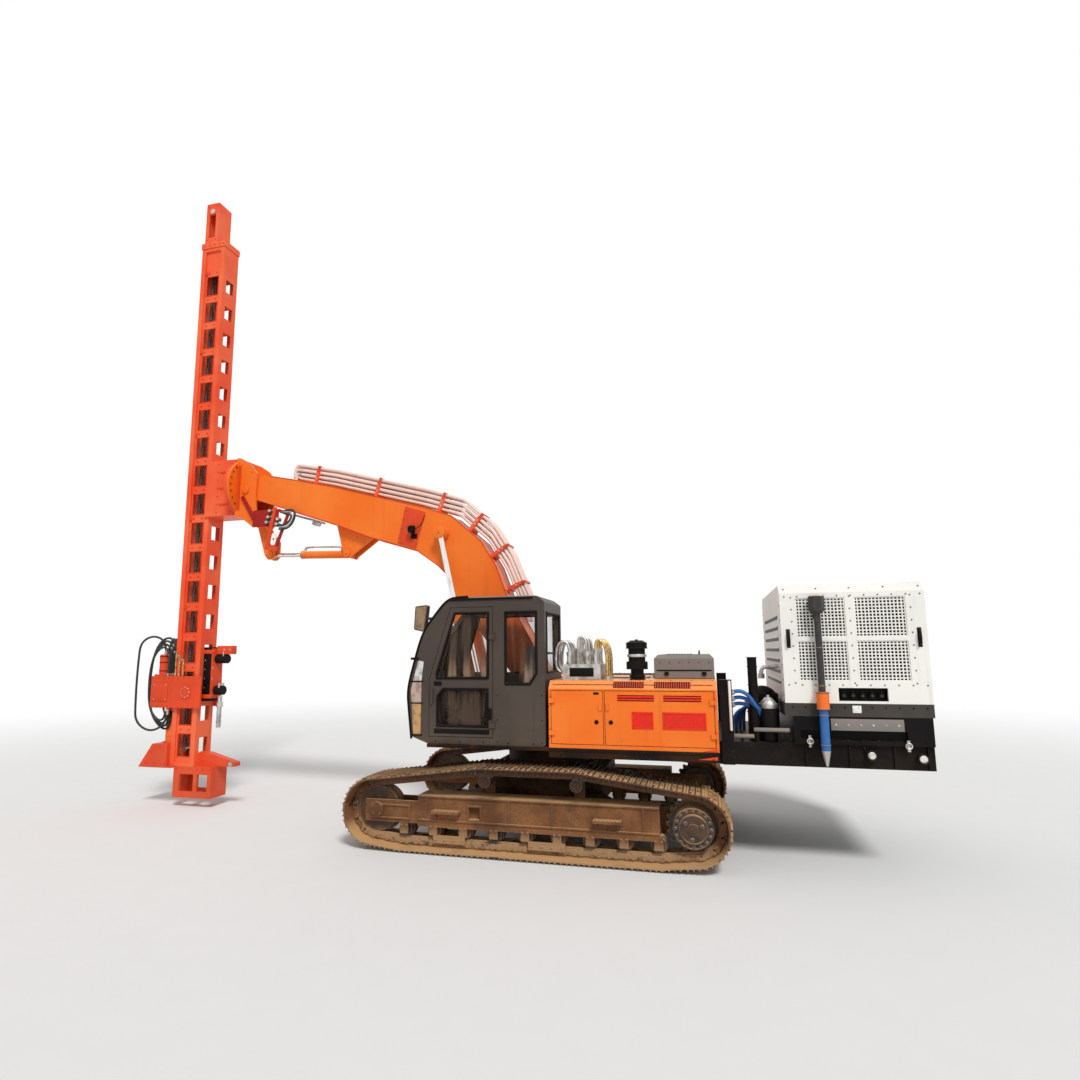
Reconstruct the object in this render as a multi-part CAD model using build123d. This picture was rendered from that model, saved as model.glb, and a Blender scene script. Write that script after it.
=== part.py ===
from build123d import *
from math import acos, atan2, cos, hypot, pi, radians, sin, tan
import os

# An excavator that carries a drilling mast on its boom and a compressor behind its house.
# X runs from the mast to the compressor, Y from the cab's side to the other, Z up, in millimetres.
# The sizes are written about the slew axis; save() moves each piece so that the machine's
# middle stands over the origin.

# The whole machine
FRONT_REACH = 6470
REAR_REACH = 4240
GAP = 0.3
CLEAR = 6
PIN_FIT = 0.05

# Tracks
TRACK_GAUGE = 2390
SHOE_WIDTH = 600
TUMBLER_DISTANCE = 3660
TUMBLER_HEIGHT = 435
TUMBLER_RADIUS = 256
SHOE_PITCH = 190
SHOE_THICKNESS = 14
SHOE_GAP = 8
GROUSER_HEIGHT = 26
GROUSER_PITCH = 60
GROUSER_WIDTH = 18
LINK_HEIGHT = 98
LINK_RAIL = 50
LINK_SPACE = 100
TRACK_TOP = 1000
CARRIER_RADIUS = 70
CARRIER_PLACES = (-505, 570)
BOTTOM_ROLLER_RADIUS = 82
BOTTOM_ROLLERS = 9
BOTTOM_ROLLER_FIRST = -1480
BOTTOM_ROLLER_PITCH = 368
SPROCKET_TEETH = 21

# Track frames and the body between them
BEAM_WIDTH = 310
BEAM_TOP = 620
BEAM_FLOOR = 335
BEAM_FRONT = -1305
BEAM_REAR = 1480
FLANGE_FOOT = 270
FLANGE_WALL = 26
YOKE_FRONT = -1980
DRIVE_PLATE = 30
DRIVE_PLATE_REACH = 120
CARBODY_LENGTH = 1500
CARBODY_WIDTH = 1300
CARBODY_FLOOR = 450
CARBODY_ROOF = 830
RING_RADIUS = 560
RING_TOP = 1040
TOW_BORE = 32
TOW_EYE_REACH = 150
TOW_EYE_HALF = 70
TOW_EYE_HEIGHT = 630
TOW_EYE_THICKNESS = 50
TOW_PIN_REACH = 90

# House
HOUSE_WIDTH = 2710
HOUSE_FRONT = 285
HOUSE_REAR = 2130
DECK_FRONT = -1200
DECK_UNDERSIDE = 1105
DECK_TOP = 1210
HOUSE_ROOF = 1950
HOUSE_CHAMFER = 90
HOUSE_WALL = 40
BAY_HALF_WIDTH = 330
DOOR_GAP = 6
DOOR_SPLIT = 914
DOOR_SILL = 1250
DOOR_HEAD = 1845
HOOD_FRONT = 1430
HOOD_TOP = 2230
HOOD_HALF_WIDTH = 700
HINGE_PIN_RADIUS = 7
HINGE_KNUCKLE_RADIUS = 12
HINGE_LENGTH = 70
HINGE_SET = 12
HINGE_STAND = 14
RAIL_RADIUS = 17
RAIL_TOP = 2250
TANK_TOP = 1930
EXHAUST_PLACE = (1260, -1000)
EXHAUST_TOP = 2400
VALVE_TOP = 2130

# Cab
CAB_OUTER = -1330
CAB_INNER = -412
CAB_REAR = 240
CAB_ROOF = 2930
CAB_WALL = 60
CAB_DOOR_REAR = -385
CAB_WINDOW_HEAD = CAB_ROOF - 190
CAB_DOOR_HEAD = CAB_ROOF - 115
CAB_DOOR_DEPTH = 45
CAB_DOOR_HINGES = (1400, 2420)
PANE_MARGIN = 110
GLASS = 6
SEAT_HEIGHT = 1560

# Boom, measured at its two pins
BOOM_FOOT = (-150, 1900)
BOOM_NOSE = (-4780, 4805)
BOOM_HALF_WIDTH = 200
BOOM_WALL = 22
FOOT_RADIUS = 190
NOSE_RADIUS = 135
BRACKET_WALL = 30
LIFT_BASE = (-900, 1420)
LIFT_EYE = (-1490, 3940)
LIFT_SPACING = 640
LIFT_BARREL_RADIUS = 75
LIFT_BARREL_LENGTH = 1560
LIFT_ROD_RADIUS = 42
LIFT_ROD_LENGTH = 1750
PIPE_RADIUS_BOOM = 24
BOOM_PIPES = 4
PIPE_LAYERS = 2
PIPE_SPACING = 62
PIPE_LIFT = 34
PIPE_LAYER = 66
PIPE_LEAN = 0.35
PIPE_BEND = 150
PIPE_CLAMP_LENGTH = 50
PIPE_CLAMP_FOOT = 120

# Tilting head
TILT_BASE = (-3060, 3745)
TILT_EYE = (-4410, 3790)
TILT_BARREL_RADIUS = 58
TILT_BARREL_LENGTH = 835
TILT_ROD_RADIUS = 32
TILT_ROD_LENGTH = 800
TILT_EYE_HALF = 42
TILT_BASE_HALF = 64
HEAD_WALL = 30
HEAD_FACE = -4970
FLANGE_CENTRE = 4880
FLANGE_RADIUS = 450
SWING_PIN_RADIUS = 90
SWING_PLATE = 50
GUIDE_BOTTOM = 4430
GUIDE_TOP = 5330
GUIDE_WALL = 28
GUIDE_RUNG = 90
GUIDE_RUNGS = 5

# Mast
MAST_FRONT = -5950
MAST_REAR = -5500
MAST_WIDTH = 340
MAST_FOOT = 590
MAST_COLLAR = 9100
MAST_TOP = 9950
MAST_POST = 80
MAST_WEB = 14
MAST_RECESS = 26
RUNG_PITCH = 470
RUNG_HEIGHT = 130
FOOT_FLOOR = 140
GUARD_TOP = 920

# Rotary head, which climbs the mast
HEAD_FRONT = -6330
HEAD_REAR = -5410
HEAD_BOTTOM = 1460
HEAD_TOP = 1940
HEAD_HALF_WIDTH = 230
MOTOR_X = -6200
MOTOR_Y = 110
MOTOR_HEIGHT = 330
FEED_SHOE_HEIGHT = 120
SPINDLE_X = -6100
PIPE_RADIUS = 82
PIPE_END = 700
DRILL_BORE = 45
DRILL_SOCKET = 120
HOSE_RADIUS = 16
HOSE_RETURN_X = -6010
HOSE_RETURN_Y = 205

# Compressor and what stands in front of it
PLATFORM_HALF_WIDTH = 1150
PLATFORM_FLOOR = 1060
PLATFORM_TOP = 1585
CANOPY_FRONT = 2830
CANOPY_FLOOR = 1720
CANOPY_TOP = 2980
CANOPY_CHAMFER = 95
CANOPY_WALL = 40
GRILLE_WIDTH = 490
GRILLE_HEIGHT = 420
GRILLE_HOLE = 52
GRILLE_PITCH = 80
GRILLE_SHEET = 6
UNIT_CLEAR = 160
UNIT_HALF_WIDTH = 800
TOOL_STAND = 75

SLEW_X = (FRONT_REACH - REAR_REACH) / 2
HOUSE_SIDE = HOUSE_WIDTH / 2
LIFT_Y = LIFT_SPACING / 2
MAST_SIDE = MAST_WIDTH / 2


def save(name, *pieces):
    """Writes one node, with its place counted from the middle of the machine."""
    whole = pieces[0] if len(pieces) == 1 else Compound(list(pieces))
    export_step(whole.moved(Location((SLEW_X, 0, 0))), f"parts/{name}.step")


def block(x, y, z):
    """A box from its low and high ends along X, Y and Z."""
    middle = [(low + high) / 2 for low, high in (x, y, z)]
    return Pos(*middle) * Box(x[1] - x[0], y[1] - y[0], z[1] - z[0])


def outline(points, radius=0):
    """A closed face from points, its corners rounded where a radius is given."""
    if radius:
        return make_face(FilletPolyline(*points, radius=radius, close=True))
    return make_face(Polyline(*points, close=True))


def side_plane(y):
    """The plane that faces the cab's side, with X to the right and Z up."""
    return Plane(origin=(0, y, 0), x_dir=(1, 0, 0), z_dir=(0, -1, 0))


def plate(face, y):
    """An outline in X and Z, made solid between two places across the machine."""
    return extrude(side_plane(y[1]) * face, y[1] - y[0])


def bar_y(x, z, radius, y):
    """A round bar across the machine."""
    return Pos(x, (y[0] + y[1]) / 2, z) * Rot(90, 0, 0) * Cylinder(radius, y[1] - y[0])


def bar_z(x, y, radius, z):
    """An upright round bar."""
    return Pos(x, y, (z[0] + z[1]) / 2) * Cylinder(radius, z[1] - z[0])


def bar_x(y, z, radius, x):
    """A round bar along the machine."""
    return Pos((x[0] + x[1]) / 2, y, z) * Rot(0, 90, 0) * Cylinder(radius, x[1] - x[0])


def mirrored(piece):
    """The same piece on the machine's other side."""
    return piece.mirror(Plane.XZ)


def along(start, end, distance):
    """The point at a distance from start towards end, in X and Z."""
    length = hypot(end[0] - start[0], end[1] - start[1])
    share = distance / length
    return (start[0] + (end[0] - start[0]) * share, start[1] + (end[1] - start[1]) * share)


def strut(start, end, radius, y):
    """A round bar between two points of a plane across the machine."""
    direction = Vector(end[0] - start[0], 0, end[1] - start[1])
    base = Plane(origin=(start[0], y, start[1]), x_dir=(0, 1, 0), z_dir=direction)
    return extrude(base * Circle(radius), direction.length)


def pipe_run(points, radius, bend):
    """A pipe along points in space, its corners bent to one radius."""
    path = FilletPolyline(*points, radius=bend)
    start = Plane(origin=path @ 0, z_dir=path % 0)
    return sweep(start * Circle(radius), path=path)


# Tracks: a belt round four wheels, its shoes set along it at the chain's pitch

def belt_wheels(inset):
    """Centre and radius of each wheel that the belt goes round, clockwise from the front."""
    reach = GAP + LINK_HEIGHT + SHOE_THICKNESS - inset
    half = TUMBLER_DISTANCE / 2
    rollers = bottom_roller_places()
    return [
        (-half, TUMBLER_HEIGHT, TUMBLER_RADIUS + reach),
        (CARRIER_PLACES[0], carrier_height(), CARRIER_RADIUS + reach),
        (CARRIER_PLACES[1], carrier_height(), CARRIER_RADIUS + reach),
        (half, TUMBLER_HEIGHT, TUMBLER_RADIUS + reach),
        (rollers[-1], bottom_roller_height(), BOTTOM_ROLLER_RADIUS + reach),
        (rollers[0], bottom_roller_height(), BOTTOM_ROLLER_RADIUS + reach),
    ]


def tangent_angle(first, second):
    """Angle of the normal shared by two wheels on the belt's outer side."""
    dx, dz = second[0] - first[0], second[1] - first[1]
    lean = acos((first[2] - second[2]) / hypot(dx, dz))
    return atan2(dz, dx) + lean


def belt(inset):
    """The belt as straight and round stretches, each with its length."""
    wheels = belt_wheels(inset)
    count = len(wheels)
    normals = [tangent_angle(wheels[i], wheels[(i + 1) % count]) for i in range(count)]
    stretches = []
    for i, (x, z, radius) in enumerate(wheels):
        arrive, leave = normals[i - 1], normals[i]
        turn = (arrive - leave) % (2 * pi)
        stretches.append(("arc", (x, z), radius, arrive, turn, radius * turn))
        after = wheels[(i + 1) % count]
        start = (x + radius * cos(leave), z + radius * sin(leave))
        end = (after[0] + after[2] * cos(leave), after[1] + after[2] * sin(leave))
        stretches.append(("line", start, end, leave, 0, hypot(end[0] - start[0], end[1] - start[1])))
    return stretches


def belt_place(stretches, distance):
    """The point and the outward direction at a distance along the belt."""
    for kind, first, second, angle, turn, length in stretches:
        if distance <= length:
            break
        distance -= length
    if kind == "arc":
        normal = angle - distance / second
        return (first[0] + second * cos(normal), first[1] + second * sin(normal)), normal
    return along(first, second, max(distance, 1e-6)), angle


def belt_face(inset):
    """The face inside the belt, of true lines and arcs."""
    edges = []
    for kind, first, second, angle, turn, length in belt(inset):
        if kind == "line":
            edges.append(Line(first, second))
        else:
            spots = [angle - turn * share for share in (0, 0.5, 1)]
            edges.append(ThreePointArc(*[
                (first[0] + second * cos(spot), first[1] + second * sin(spot)) for spot in spots
            ]))
    return make_face(edges)


def shoe_profile():
    """One shoe's outer edge, along the belt and away from it: a seam, then three ribs."""
    half = (SHOE_PITCH - SHOE_GAP) / 2
    points = [(-SHOE_PITCH / 2, -SHOE_GAP), (-half, 0)]
    for place in (-GROUSER_PITCH, 0, GROUSER_PITCH):
        points += [
            (place - GROUSER_WIDTH / 2, 0),
            (place, GROUSER_HEIGHT),
            (place + GROUSER_WIDTH / 2, 0),
        ]
    points.append((half, 0))
    return points


def track_outline():
    """The whole belt's outer edge, with every shoe's ribs."""
    stretches = belt(0)
    length = sum(stretch[-1] for stretch in stretches)
    shoes = round(length / SHOE_PITCH)
    points = []
    for shoe in range(shoes):
        (x, z), normal = belt_place(stretches, length * (shoe + 0.5) / shoes)
        for forward, outward in shoe_profile():
            points.append((
                x + outward * cos(normal) + forward * sin(normal),
                z + outward * sin(normal) - forward * cos(normal),
            ))
    return points


def track(side):
    """One endless track: its shoes, and the two rails of the chain that they're bolted to."""
    middle = side * TRACK_GAUGE / 2
    shoes = plate(
        outline(track_outline()) - belt_face(SHOE_THICKNESS),
        (middle - SHOE_WIDTH / 2, middle + SHOE_WIDTH / 2),
    )
    chain = belt_face(SHOE_THICKNESS) - belt_face(SHOE_THICKNESS + LINK_HEIGHT)
    rails = [
        plate(chain, (middle + inner, middle + inner + LINK_RAIL))
        for inner in (-LINK_SPACE / 2 - LINK_RAIL, LINK_SPACE / 2)
    ]
    return shoes + rails[0] + rails[1]


def wheel(x, z, radius, width, flange, side, hub=0):
    """A roller, its rim between the rails and its middle flange, with shaft ends."""
    middle = side * TRACK_GAUGE / 2
    rim = bar_y(x, z, radius, (middle - width / 2, middle + width / 2))
    guide = bar_y(x, z, radius + flange, (middle - LINK_SPACE / 2 + CLEAR, middle + LINK_SPACE / 2 - CLEAR))
    shaft_half = BEAM_WIDTH / 2 - FLANGE_WALL - GAP
    shaft = bar_y(x, z, hub or radius * 0.45, (middle - shaft_half, middle + shaft_half))
    return rim + guide + shaft


def sprocket(side):
    """The driving wheel with its teeth, and the final drive's cover outside it."""
    middle = side * TRACK_GAUGE / 2
    x = TUMBLER_DISTANCE / 2
    root = TUMBLER_RADIUS
    tooth = 2 * pi / SPROCKET_TEETH
    points = []
    for i in range(SPROCKET_TEETH):
        for share, radius in ((0.12, root), (0.38, root + 34), (0.62, root + 34), (0.88, root)):
            angle = (i + share) * tooth
            points.append((x + radius * cos(angle), TUMBLER_HEIGHT + radius * sin(angle)))
    half = LINK_SPACE / 2 - CLEAR
    toothed = plate(outline(points), (middle - half, middle + half))
    outer = middle + side * 205
    inner = middle - side * (BEAM_WIDTH / 2 - DRIVE_PLATE - GAP)
    drum = bar_y(x, TUMBLER_HEIGHT, 210, sorted((inner, outer)))
    lip = bar_y(x, TUMBLER_HEIGHT, 150, sorted((outer, outer + side * 30)))
    return toothed + drum + lip


def bottom_roller_places():
    """X of each roller that the machine stands on."""
    return [BOTTOM_ROLLER_FIRST + i * BOTTOM_ROLLER_PITCH for i in range(BOTTOM_ROLLERS)]


def bottom_roller_height():
    return GROUSER_HEIGHT + SHOE_THICKNESS + LINK_HEIGHT + GAP + BOTTOM_ROLLER_RADIUS


def track_frame(side):
    """The beam inside one track, with its skirts, roller seats, guards and steps."""
    middle = side * TRACK_GAUGE / 2
    half = BEAM_WIDTH / 2
    beam = block((BEAM_FRONT, BEAM_REAR), (middle - half, middle + half), (BEAM_FLOOR, BEAM_TOP))
    outer = middle + side * half
    recess = sorted((outer - side * 60, outer + side))
    beam -= block((-670, -540), recess, (380, 510))
    skirts = [
        sorted((middle + hand * half, middle + hand * (half - FLANGE_WALL))) for hand in (-1, 1)
    ]
    height = bottom_roller_height()
    for skirt in skirts:
        beam += block((BEAM_FRONT, BEAM_REAR), skirt, (FLANGE_FOOT, BEAM_FLOOR))
        for x in bottom_roller_places():
            beam += block((x - 48, x + 48), skirt, (height - 40, BEAM_FLOOR))
        beam += block((YOKE_FRONT, BEAM_FRONT), skirt, (FLANGE_FOOT + 30, BEAM_TOP - 70))
    for low, high in ((-1110, -720), (30, 450)):
        beam += block((low, high), skirts[0], (95, height - 40))
        beam += block((low, high), skirts[1], (95, height - 40))
    for low, high in ((-1100, -770), (775, 1080)):
        beam += block((low, high), sorted((outer, outer + side * 95)), (440, 470))
    beam += block(
        (BEAM_REAR, TUMBLER_DISTANCE / 2 + DRIVE_PLATE_REACH),
        sorted((middle - side * half, middle - side * (half - DRIVE_PLATE))), (300, 570),
    )
    for x in CARRIER_PLACES:
        stand = sorted((middle - side * half, middle - side * (half - 34)))
        beam += block((x - 60, x + 60), stand, (BEAM_TOP, carrier_height() + 50))
    return beam


def carrier_height():
    return TRACK_TOP - GROUSER_HEIGHT - SHOE_THICKNESS - LINK_HEIGHT - GAP - CARRIER_RADIUS


def carrier_roller(x, side):
    """A top roller on a stub shaft from its stand."""
    middle = side * TRACK_GAUGE / 2
    z = carrier_height()
    rim = bar_y(x, z, CARRIER_RADIUS, (middle - LINK_SPACE, middle + LINK_SPACE))
    inner = middle - side * (BEAM_WIDTH / 2 - 34 - GAP)
    return rim + bar_y(x, z, 30, sorted((inner, middle)))


def carbody():
    """The body between the tracks: a box, four splayed legs and the fixed half of the slew ring."""
    half_length, half_width = CARBODY_LENGTH / 2, CARBODY_WIDTH / 2
    body = block(
        (-half_length, half_length), (-half_width, half_width), (CARBODY_FLOOR, CARBODY_ROOF)
    )
    inner = TRACK_GAUGE / 2 - BEAM_WIDTH / 2
    leg = make_face(Polyline(
        (half_length - 420, half_width - 40), (half_length, half_width - 40),
        (half_length + 260, inner), (half_length - 260, inner), close=True,
    ))
    leg = extrude(Plane.XY.offset(CARBODY_FLOOR + 40) * leg, BEAM_TOP - CARBODY_FLOOR - 60)
    for turn_x in (1, -1):
        for turn_y in (1, -1):
            copy = leg if turn_x == 1 else leg.mirror(Plane.YZ)
            body += copy if turn_y == 1 else mirrored(copy)
    body += bar_z(0, 0, RING_RADIUS + 60, (CARBODY_ROOF, CARBODY_ROOF + 60))
    body += bar_z(0, 0, RING_RADIUS, (CARBODY_ROOF + 60, RING_TOP))
    for end in (-1, 1):
        low, high = TOW_EYE_HEIGHT - TOW_EYE_THICKNESS / 2, TOW_EYE_HEIGHT + TOW_EYE_THICKNESS / 2
        eye = block(
            sorted((end * half_length, end * (half_length + TOW_EYE_REACH))),
            (-TOW_EYE_HALF, TOW_EYE_HALF), (low, high),
        )
        body += eye - bar_z(end * (half_length + TOW_PIN_REACH), 0, TOW_BORE, (low - 5, high + 5))
    return body


def undercarriage():
    save("carbody", carbody())
    save("track_frame_left", track_frame(-1))
    save("track_frame_right", track_frame(1))
    save("track_left", track(-1))
    save("track_right", track(1))
    front = -TUMBLER_DISTANCE / 2
    save("idlers", *[
        wheel(front, TUMBLER_HEIGHT, TUMBLER_RADIUS, 2 * LINK_SPACE, 22, side, 90) for side in (-1, 1)
    ])
    save("sprockets", *[sprocket(side) for side in (-1, 1)])
    height = bottom_roller_height()
    save("bottom_rollers", *[
        wheel(x, height, BOTTOM_ROLLER_RADIUS, 2 * LINK_SPACE, 14, side)
        for side in (-1, 1) for x in bottom_roller_places()
    ])
    save("carrier_rollers", *[
        carrier_roller(x, side) for side in (-1, 1) for x in CARRIER_PLACES
    ])


# House

def bracket_outline():
    """The boom's bracket seen from the side: high at the foot pin, low at the cylinder pin."""
    return outline([
        (-1030, DECK_TOP), (-1030, 1440), (-950, 1520), (-800, 1520), (-560, 1700),
        (-340, 1990), (-230, 2090), (-70, 2090), (40, 1980), (330, 1500), (430, DECK_TOP),
    ])


def deck():
    """The turning frame: its plate, the skirts round it, the boom's two brackets and their pins."""
    floor = block((DECK_FRONT, HOUSE_REAR), (-HOUSE_SIDE, HOUSE_SIDE), (DECK_TOP - 40, DECK_TOP))
    skirt = block((HOUSE_FRONT, HOUSE_REAR), (-HOUSE_SIDE, HOUSE_SIDE), (DECK_UNDERSIDE, DECK_TOP - 40))
    skirt -= block(
        (HOUSE_FRONT + 60, HOUSE_REAR - 60), (-HOUSE_SIDE + 60, HOUSE_SIDE - 60),
        (DECK_UNDERSIDE - 1, DECK_TOP - 40),
    )
    frame = floor + skirt
    for low, high in ((-1020, -940), (-480, -400), (400, 480), (940, 1020)):
        frame += block((DECK_FRONT, HOUSE_FRONT + 60), (low, high), (DECK_UNDERSIDE + 20, DECK_TOP - 40))
    frame += bar_z(0, 0, RING_RADIUS - 20, (RING_TOP + GAP, DECK_TOP - 40))
    inner = BOOM_HALF_WIDTH + CLEAR
    for side in (-1, 1):
        frame += plate(bracket_outline(), sorted((side * inner, side * (inner + BRACKET_WALL))))
        tip = LIFT_Y + 42
        frame += bar_y(*LIFT_BASE, 36, sorted((side * inner, side * tip)))
    frame += bar_y(*BOOM_FOOT, 50, (-inner - BRACKET_WALL - 14, inner + BRACKET_WALL + 14))
    return frame


def house_plan(grow=0):
    """The engine house from above: two flanks and the space between them."""
    side = HOUSE_SIDE - grow
    bay = BAY_HALF_WIDTH + grow
    front, rear = HOUSE_FRONT + grow, HOUSE_REAR - grow
    step = HOUSE_FRONT + 360 + grow
    return make_face(Polyline(
        (front, -side), (rear, -side), (rear, side), (front, side), (front, bay),
        (step, bay), (step, -bay), (front, -bay), close=True,
    ))


def roof_wedge(side):
    """What the sloping edge along one side takes off the house."""
    corner = side * (HOUSE_SIDE + 1)
    wedge = make_face(Polyline(
        (corner, HOUSE_ROOF - HOUSE_CHAMFER), (corner, HOUSE_ROOF + 1),
        (side * (HOUSE_SIDE - HOUSE_CHAMFER), HOUSE_ROOF + 1), close=True,
    ))
    face = Plane(origin=(HOUSE_FRONT - 1, 0, 0), x_dir=(0, 1, 0), z_dir=(1, 0, 0))
    return extrude(face * wedge, HOUSE_REAR - HOUSE_FRONT + 2)


# hole: x from, x to, side
SIDE_DOORS = {
    "side_door_front": (HOUSE_FRONT + 25, DOOR_SPLIT - 6, -1),
    "side_door_rear": (DOOR_SPLIT + 6, HOUSE_REAR - 30, -1),
    "side_door_right": (DOOR_SPLIT + 6, HOUSE_REAR - 30, 1),
}


def house_shell():
    """The engine house: hollow, with doorways in its sides and a well under the hood."""
    height = HOUSE_ROOF - DECK_TOP
    shell = extrude(Plane.XY.offset(DECK_TOP) * house_plan(), height)
    shell -= extrude(Plane.XY.offset(DECK_TOP - 1) * house_plan(HOUSE_WALL), height - HOUSE_WALL + 1)
    shell = shell - roof_wedge(-1) - roof_wedge(1)
    inside = HOUSE_SIDE - HOUSE_WALL - HOUSE_CHAMFER / 2
    for side in (-1, 1):
        slope = block(
            (HOUSE_FRONT + 4, HOUSE_REAR - 4), sorted((side * inside, side * (inside + 30))),
            (HOUSE_ROOF - HOUSE_CHAMFER - 20, HOUSE_ROOF - HOUSE_WALL),
        )
        shell += slope
    for low, high, side in SIDE_DOORS.values():
        shell -= block(
            (low, high), sorted((side * (HOUSE_SIDE - HOUSE_WALL - 1), side * (HOUSE_SIDE + 1))),
            (DOOR_SILL, DOOR_HEAD),
        )
    shell -= block(
        (HOOD_FRONT + 60, HOUSE_REAR - 60), (-HOOD_HALF_WIDTH + 60, HOOD_HALF_WIDTH - 60),
        (HOUSE_ROOF - HOUSE_WALL - 1, HOUSE_ROOF + 1),
    )
    for low, high, side in SIDE_DOORS.values():
        hinge_x = low - HINGE_SET if side < 0 and high < DOOR_SPLIT else high + HINGE_SET
        for z in (DOOR_SILL + 90, DOOR_HEAD - 150):
            shell += hinge_pin(hinge_x, side * (HOUSE_SIDE + HINGE_STAND), z, side, HOUSE_SIDE)
    return shell


def hinge_pin(x, y, z, side, wall):
    """The fixed half of a hinge: an upright pin held by a small block at each end."""
    pin = bar_z(x, y, HINGE_PIN_RADIUS, (z - 15, z + HINGE_LENGTH + 15))
    for low in (z - 15, z + HINGE_LENGTH + 5):
        pin += block(
            (x - 9, x + 9), sorted((side * (wall - 5), y + side * 9)), (low, low + 10)
        )
    return pin


def hinge_knuckle(x, y, z, reach, side, thickness):
    """The turning half of a hinge: a sleeve on the pin and a leaf that reaches over the door."""
    sleeve = bar_z(x, y, HINGE_KNUCKLE_RADIUS, (z + 5 - GAP, z + HINGE_LENGTH - 5 + GAP))
    leaf = block(
        sorted((x, x + reach)), sorted((y + side * 5, y - side * 2)),
        (z + 8, z + HINGE_LENGTH - 8),
    )
    foot = block(
        sorted((x + reach, x + reach / 2)), sorted((y + side * 5, y - side * (14 + thickness / 2))),
        (z + 8, z + HINGE_LENGTH - 8),
    )
    hole = bar_z(x, y, HINGE_PIN_RADIUS + PIN_FIT, (z - 20, z + HINGE_LENGTH + 20))
    return sleeve + leaf + foot - hole


def side_door(low, high, side, hinge_at):
    """One door of the engine house, with its hinges, a handle and slots near its top."""
    low, high = low + DOOR_GAP, high - DOOR_GAP
    face = sorted((side * (HOUSE_SIDE - HOUSE_WALL), side * HOUSE_SIDE))
    door = block((low, high), face, (DOOR_SILL + DOOR_GAP, DOOR_HEAD - DOOR_GAP))
    reach = 60 if hinge_at < (low + high) / 2 else -60
    for z in (DOOR_SILL + 90, DOOR_HEAD - 150):
        door += hinge_knuckle(
            hinge_at, side * (HOUSE_SIDE + HINGE_STAND), z, reach, side, HOUSE_WALL
        )
    handle_x = high - 30 if reach > 0 else low + 30
    door += block(
        (handle_x - 18, handle_x + 18), sorted((side * HOUSE_SIDE, side * (HOUSE_SIDE + 12))),
        (DOOR_HEAD - 220, DOOR_HEAD - 150),
    )
    if low > DOOR_SPLIT:
        for start in (DOOR_SPLIT + 151, DOOR_SPLIT + 651):
            for row in range(3):
                z = DOOR_HEAD - 115 + row * 28
                door -= block((start, start + 400), (face[0] - 1, face[1] + 14), (z, z + 10))
    return door


def hood():
    """The lid over the engine: a shallow hollow box hinged along its front edge."""
    x = (HOOD_FRONT, HOUSE_REAR - 10)
    y = (-HOOD_HALF_WIDTH, HOOD_HALF_WIDTH)
    lid = block(x, y, (HOUSE_ROOF + CLEAR, HOOD_TOP))
    lid = chamfer(lid.edges().group_by(Axis.Z)[-1], 45)
    lid -= block(
        (x[0] + 30, x[1] - 30), (y[0] + 30, y[1] - 30), (HOUSE_ROOF + CLEAR - 1, HOOD_TOP - 60)
    )
    return lid


def hood_hinges():
    """Two short pins on the roof, in front of the lid."""
    return [
        bar_y(HOOD_FRONT - 16, HOUSE_ROOF + 20, 10, (y - 40, y + 40))
        + block((HOOD_FRONT - 26, HOOD_FRONT - 6), (y - 40, y - 28), (HOUSE_ROOF, HOUSE_ROOF + 20))
        + block((HOOD_FRONT - 26, HOOD_FRONT - 6), (y + 28, y + 40), (HOUSE_ROOF, HOUSE_ROOF + 20))
        for y in (-450, 450)
    ]


def hood_leaves():
    """The sleeves that turn on those pins."""
    leaves = []
    for y in (-450, 450):
        sleeve = bar_y(HOOD_FRONT - 16, HOUSE_ROOF + 20, 15, (y - 22, y + 22))
        leaf = block((HOOD_FRONT - 16, HOOD_FRONT + 2), (y - 22, y + 22), (HOUSE_ROOF + 26, HOUSE_ROOF + 35))
        hole = bar_y(HOOD_FRONT - 16, HOUSE_ROOF + 20, 10 + PIN_FIT, (y - 60, y + 60))
        leaves.append(sleeve + leaf - hole)
    return leaves


def fuel_tank():
    """The tank and the step in front of it, on the side away from the cab."""
    x = (-1150, HOUSE_FRONT - CLEAR)
    profile = outline([
        (x[0], DECK_TOP), (x[0], TANK_TOP - 410), (x[0] + 390, TANK_TOP - 370),
        (x[0] + 390, TANK_TOP - 50), (x[0] + 430, TANK_TOP), (x[1], TANK_TOP), (x[1], DECK_TOP),
    ])
    tank = plate(profile, (BAY_HALF_WIDTH + 120, HOUSE_SIDE))
    tank += bar_z(-300, 900, 60, (TANK_TOP, TANK_TOP + 45))
    return tank


def handrails():
    """The tube rail beside the tank, standing on the deck and the tank."""
    y = HOUSE_SIDE - 40
    front, rear = DECK_FRONT + 30, -200
    return pipe_run(
        [(front, y, DECK_TOP), (front, y, RAIL_TOP), (rear, y, RAIL_TOP), (rear, y, TANK_TOP)],
        RAIL_RADIUS, 90,
    )


def exhaust():
    """The engine's breather: a neck, a wide collar, a bowl with its band and a domed cap."""
    x, y = EXHAUST_PLACE
    stack = bar_z(x, y, 74, (HOUSE_ROOF, EXHAUST_TOP - 90))
    # radius, from and to below the top
    for radius, low, high in ((88, 420, 395), (122, 330, 245), (96, 245, 60), (108, 190, 160), (120, 90, 30)):
        stack += bar_z(x, y, radius, (EXHAUST_TOP - low, EXHAUST_TOP - high))
    dome = Cone(120, 70, 30, align=(Align.CENTER, Align.CENTER, Align.MIN))
    return stack + Pos(x, y, EXHAUST_TOP - 30) * dome


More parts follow.
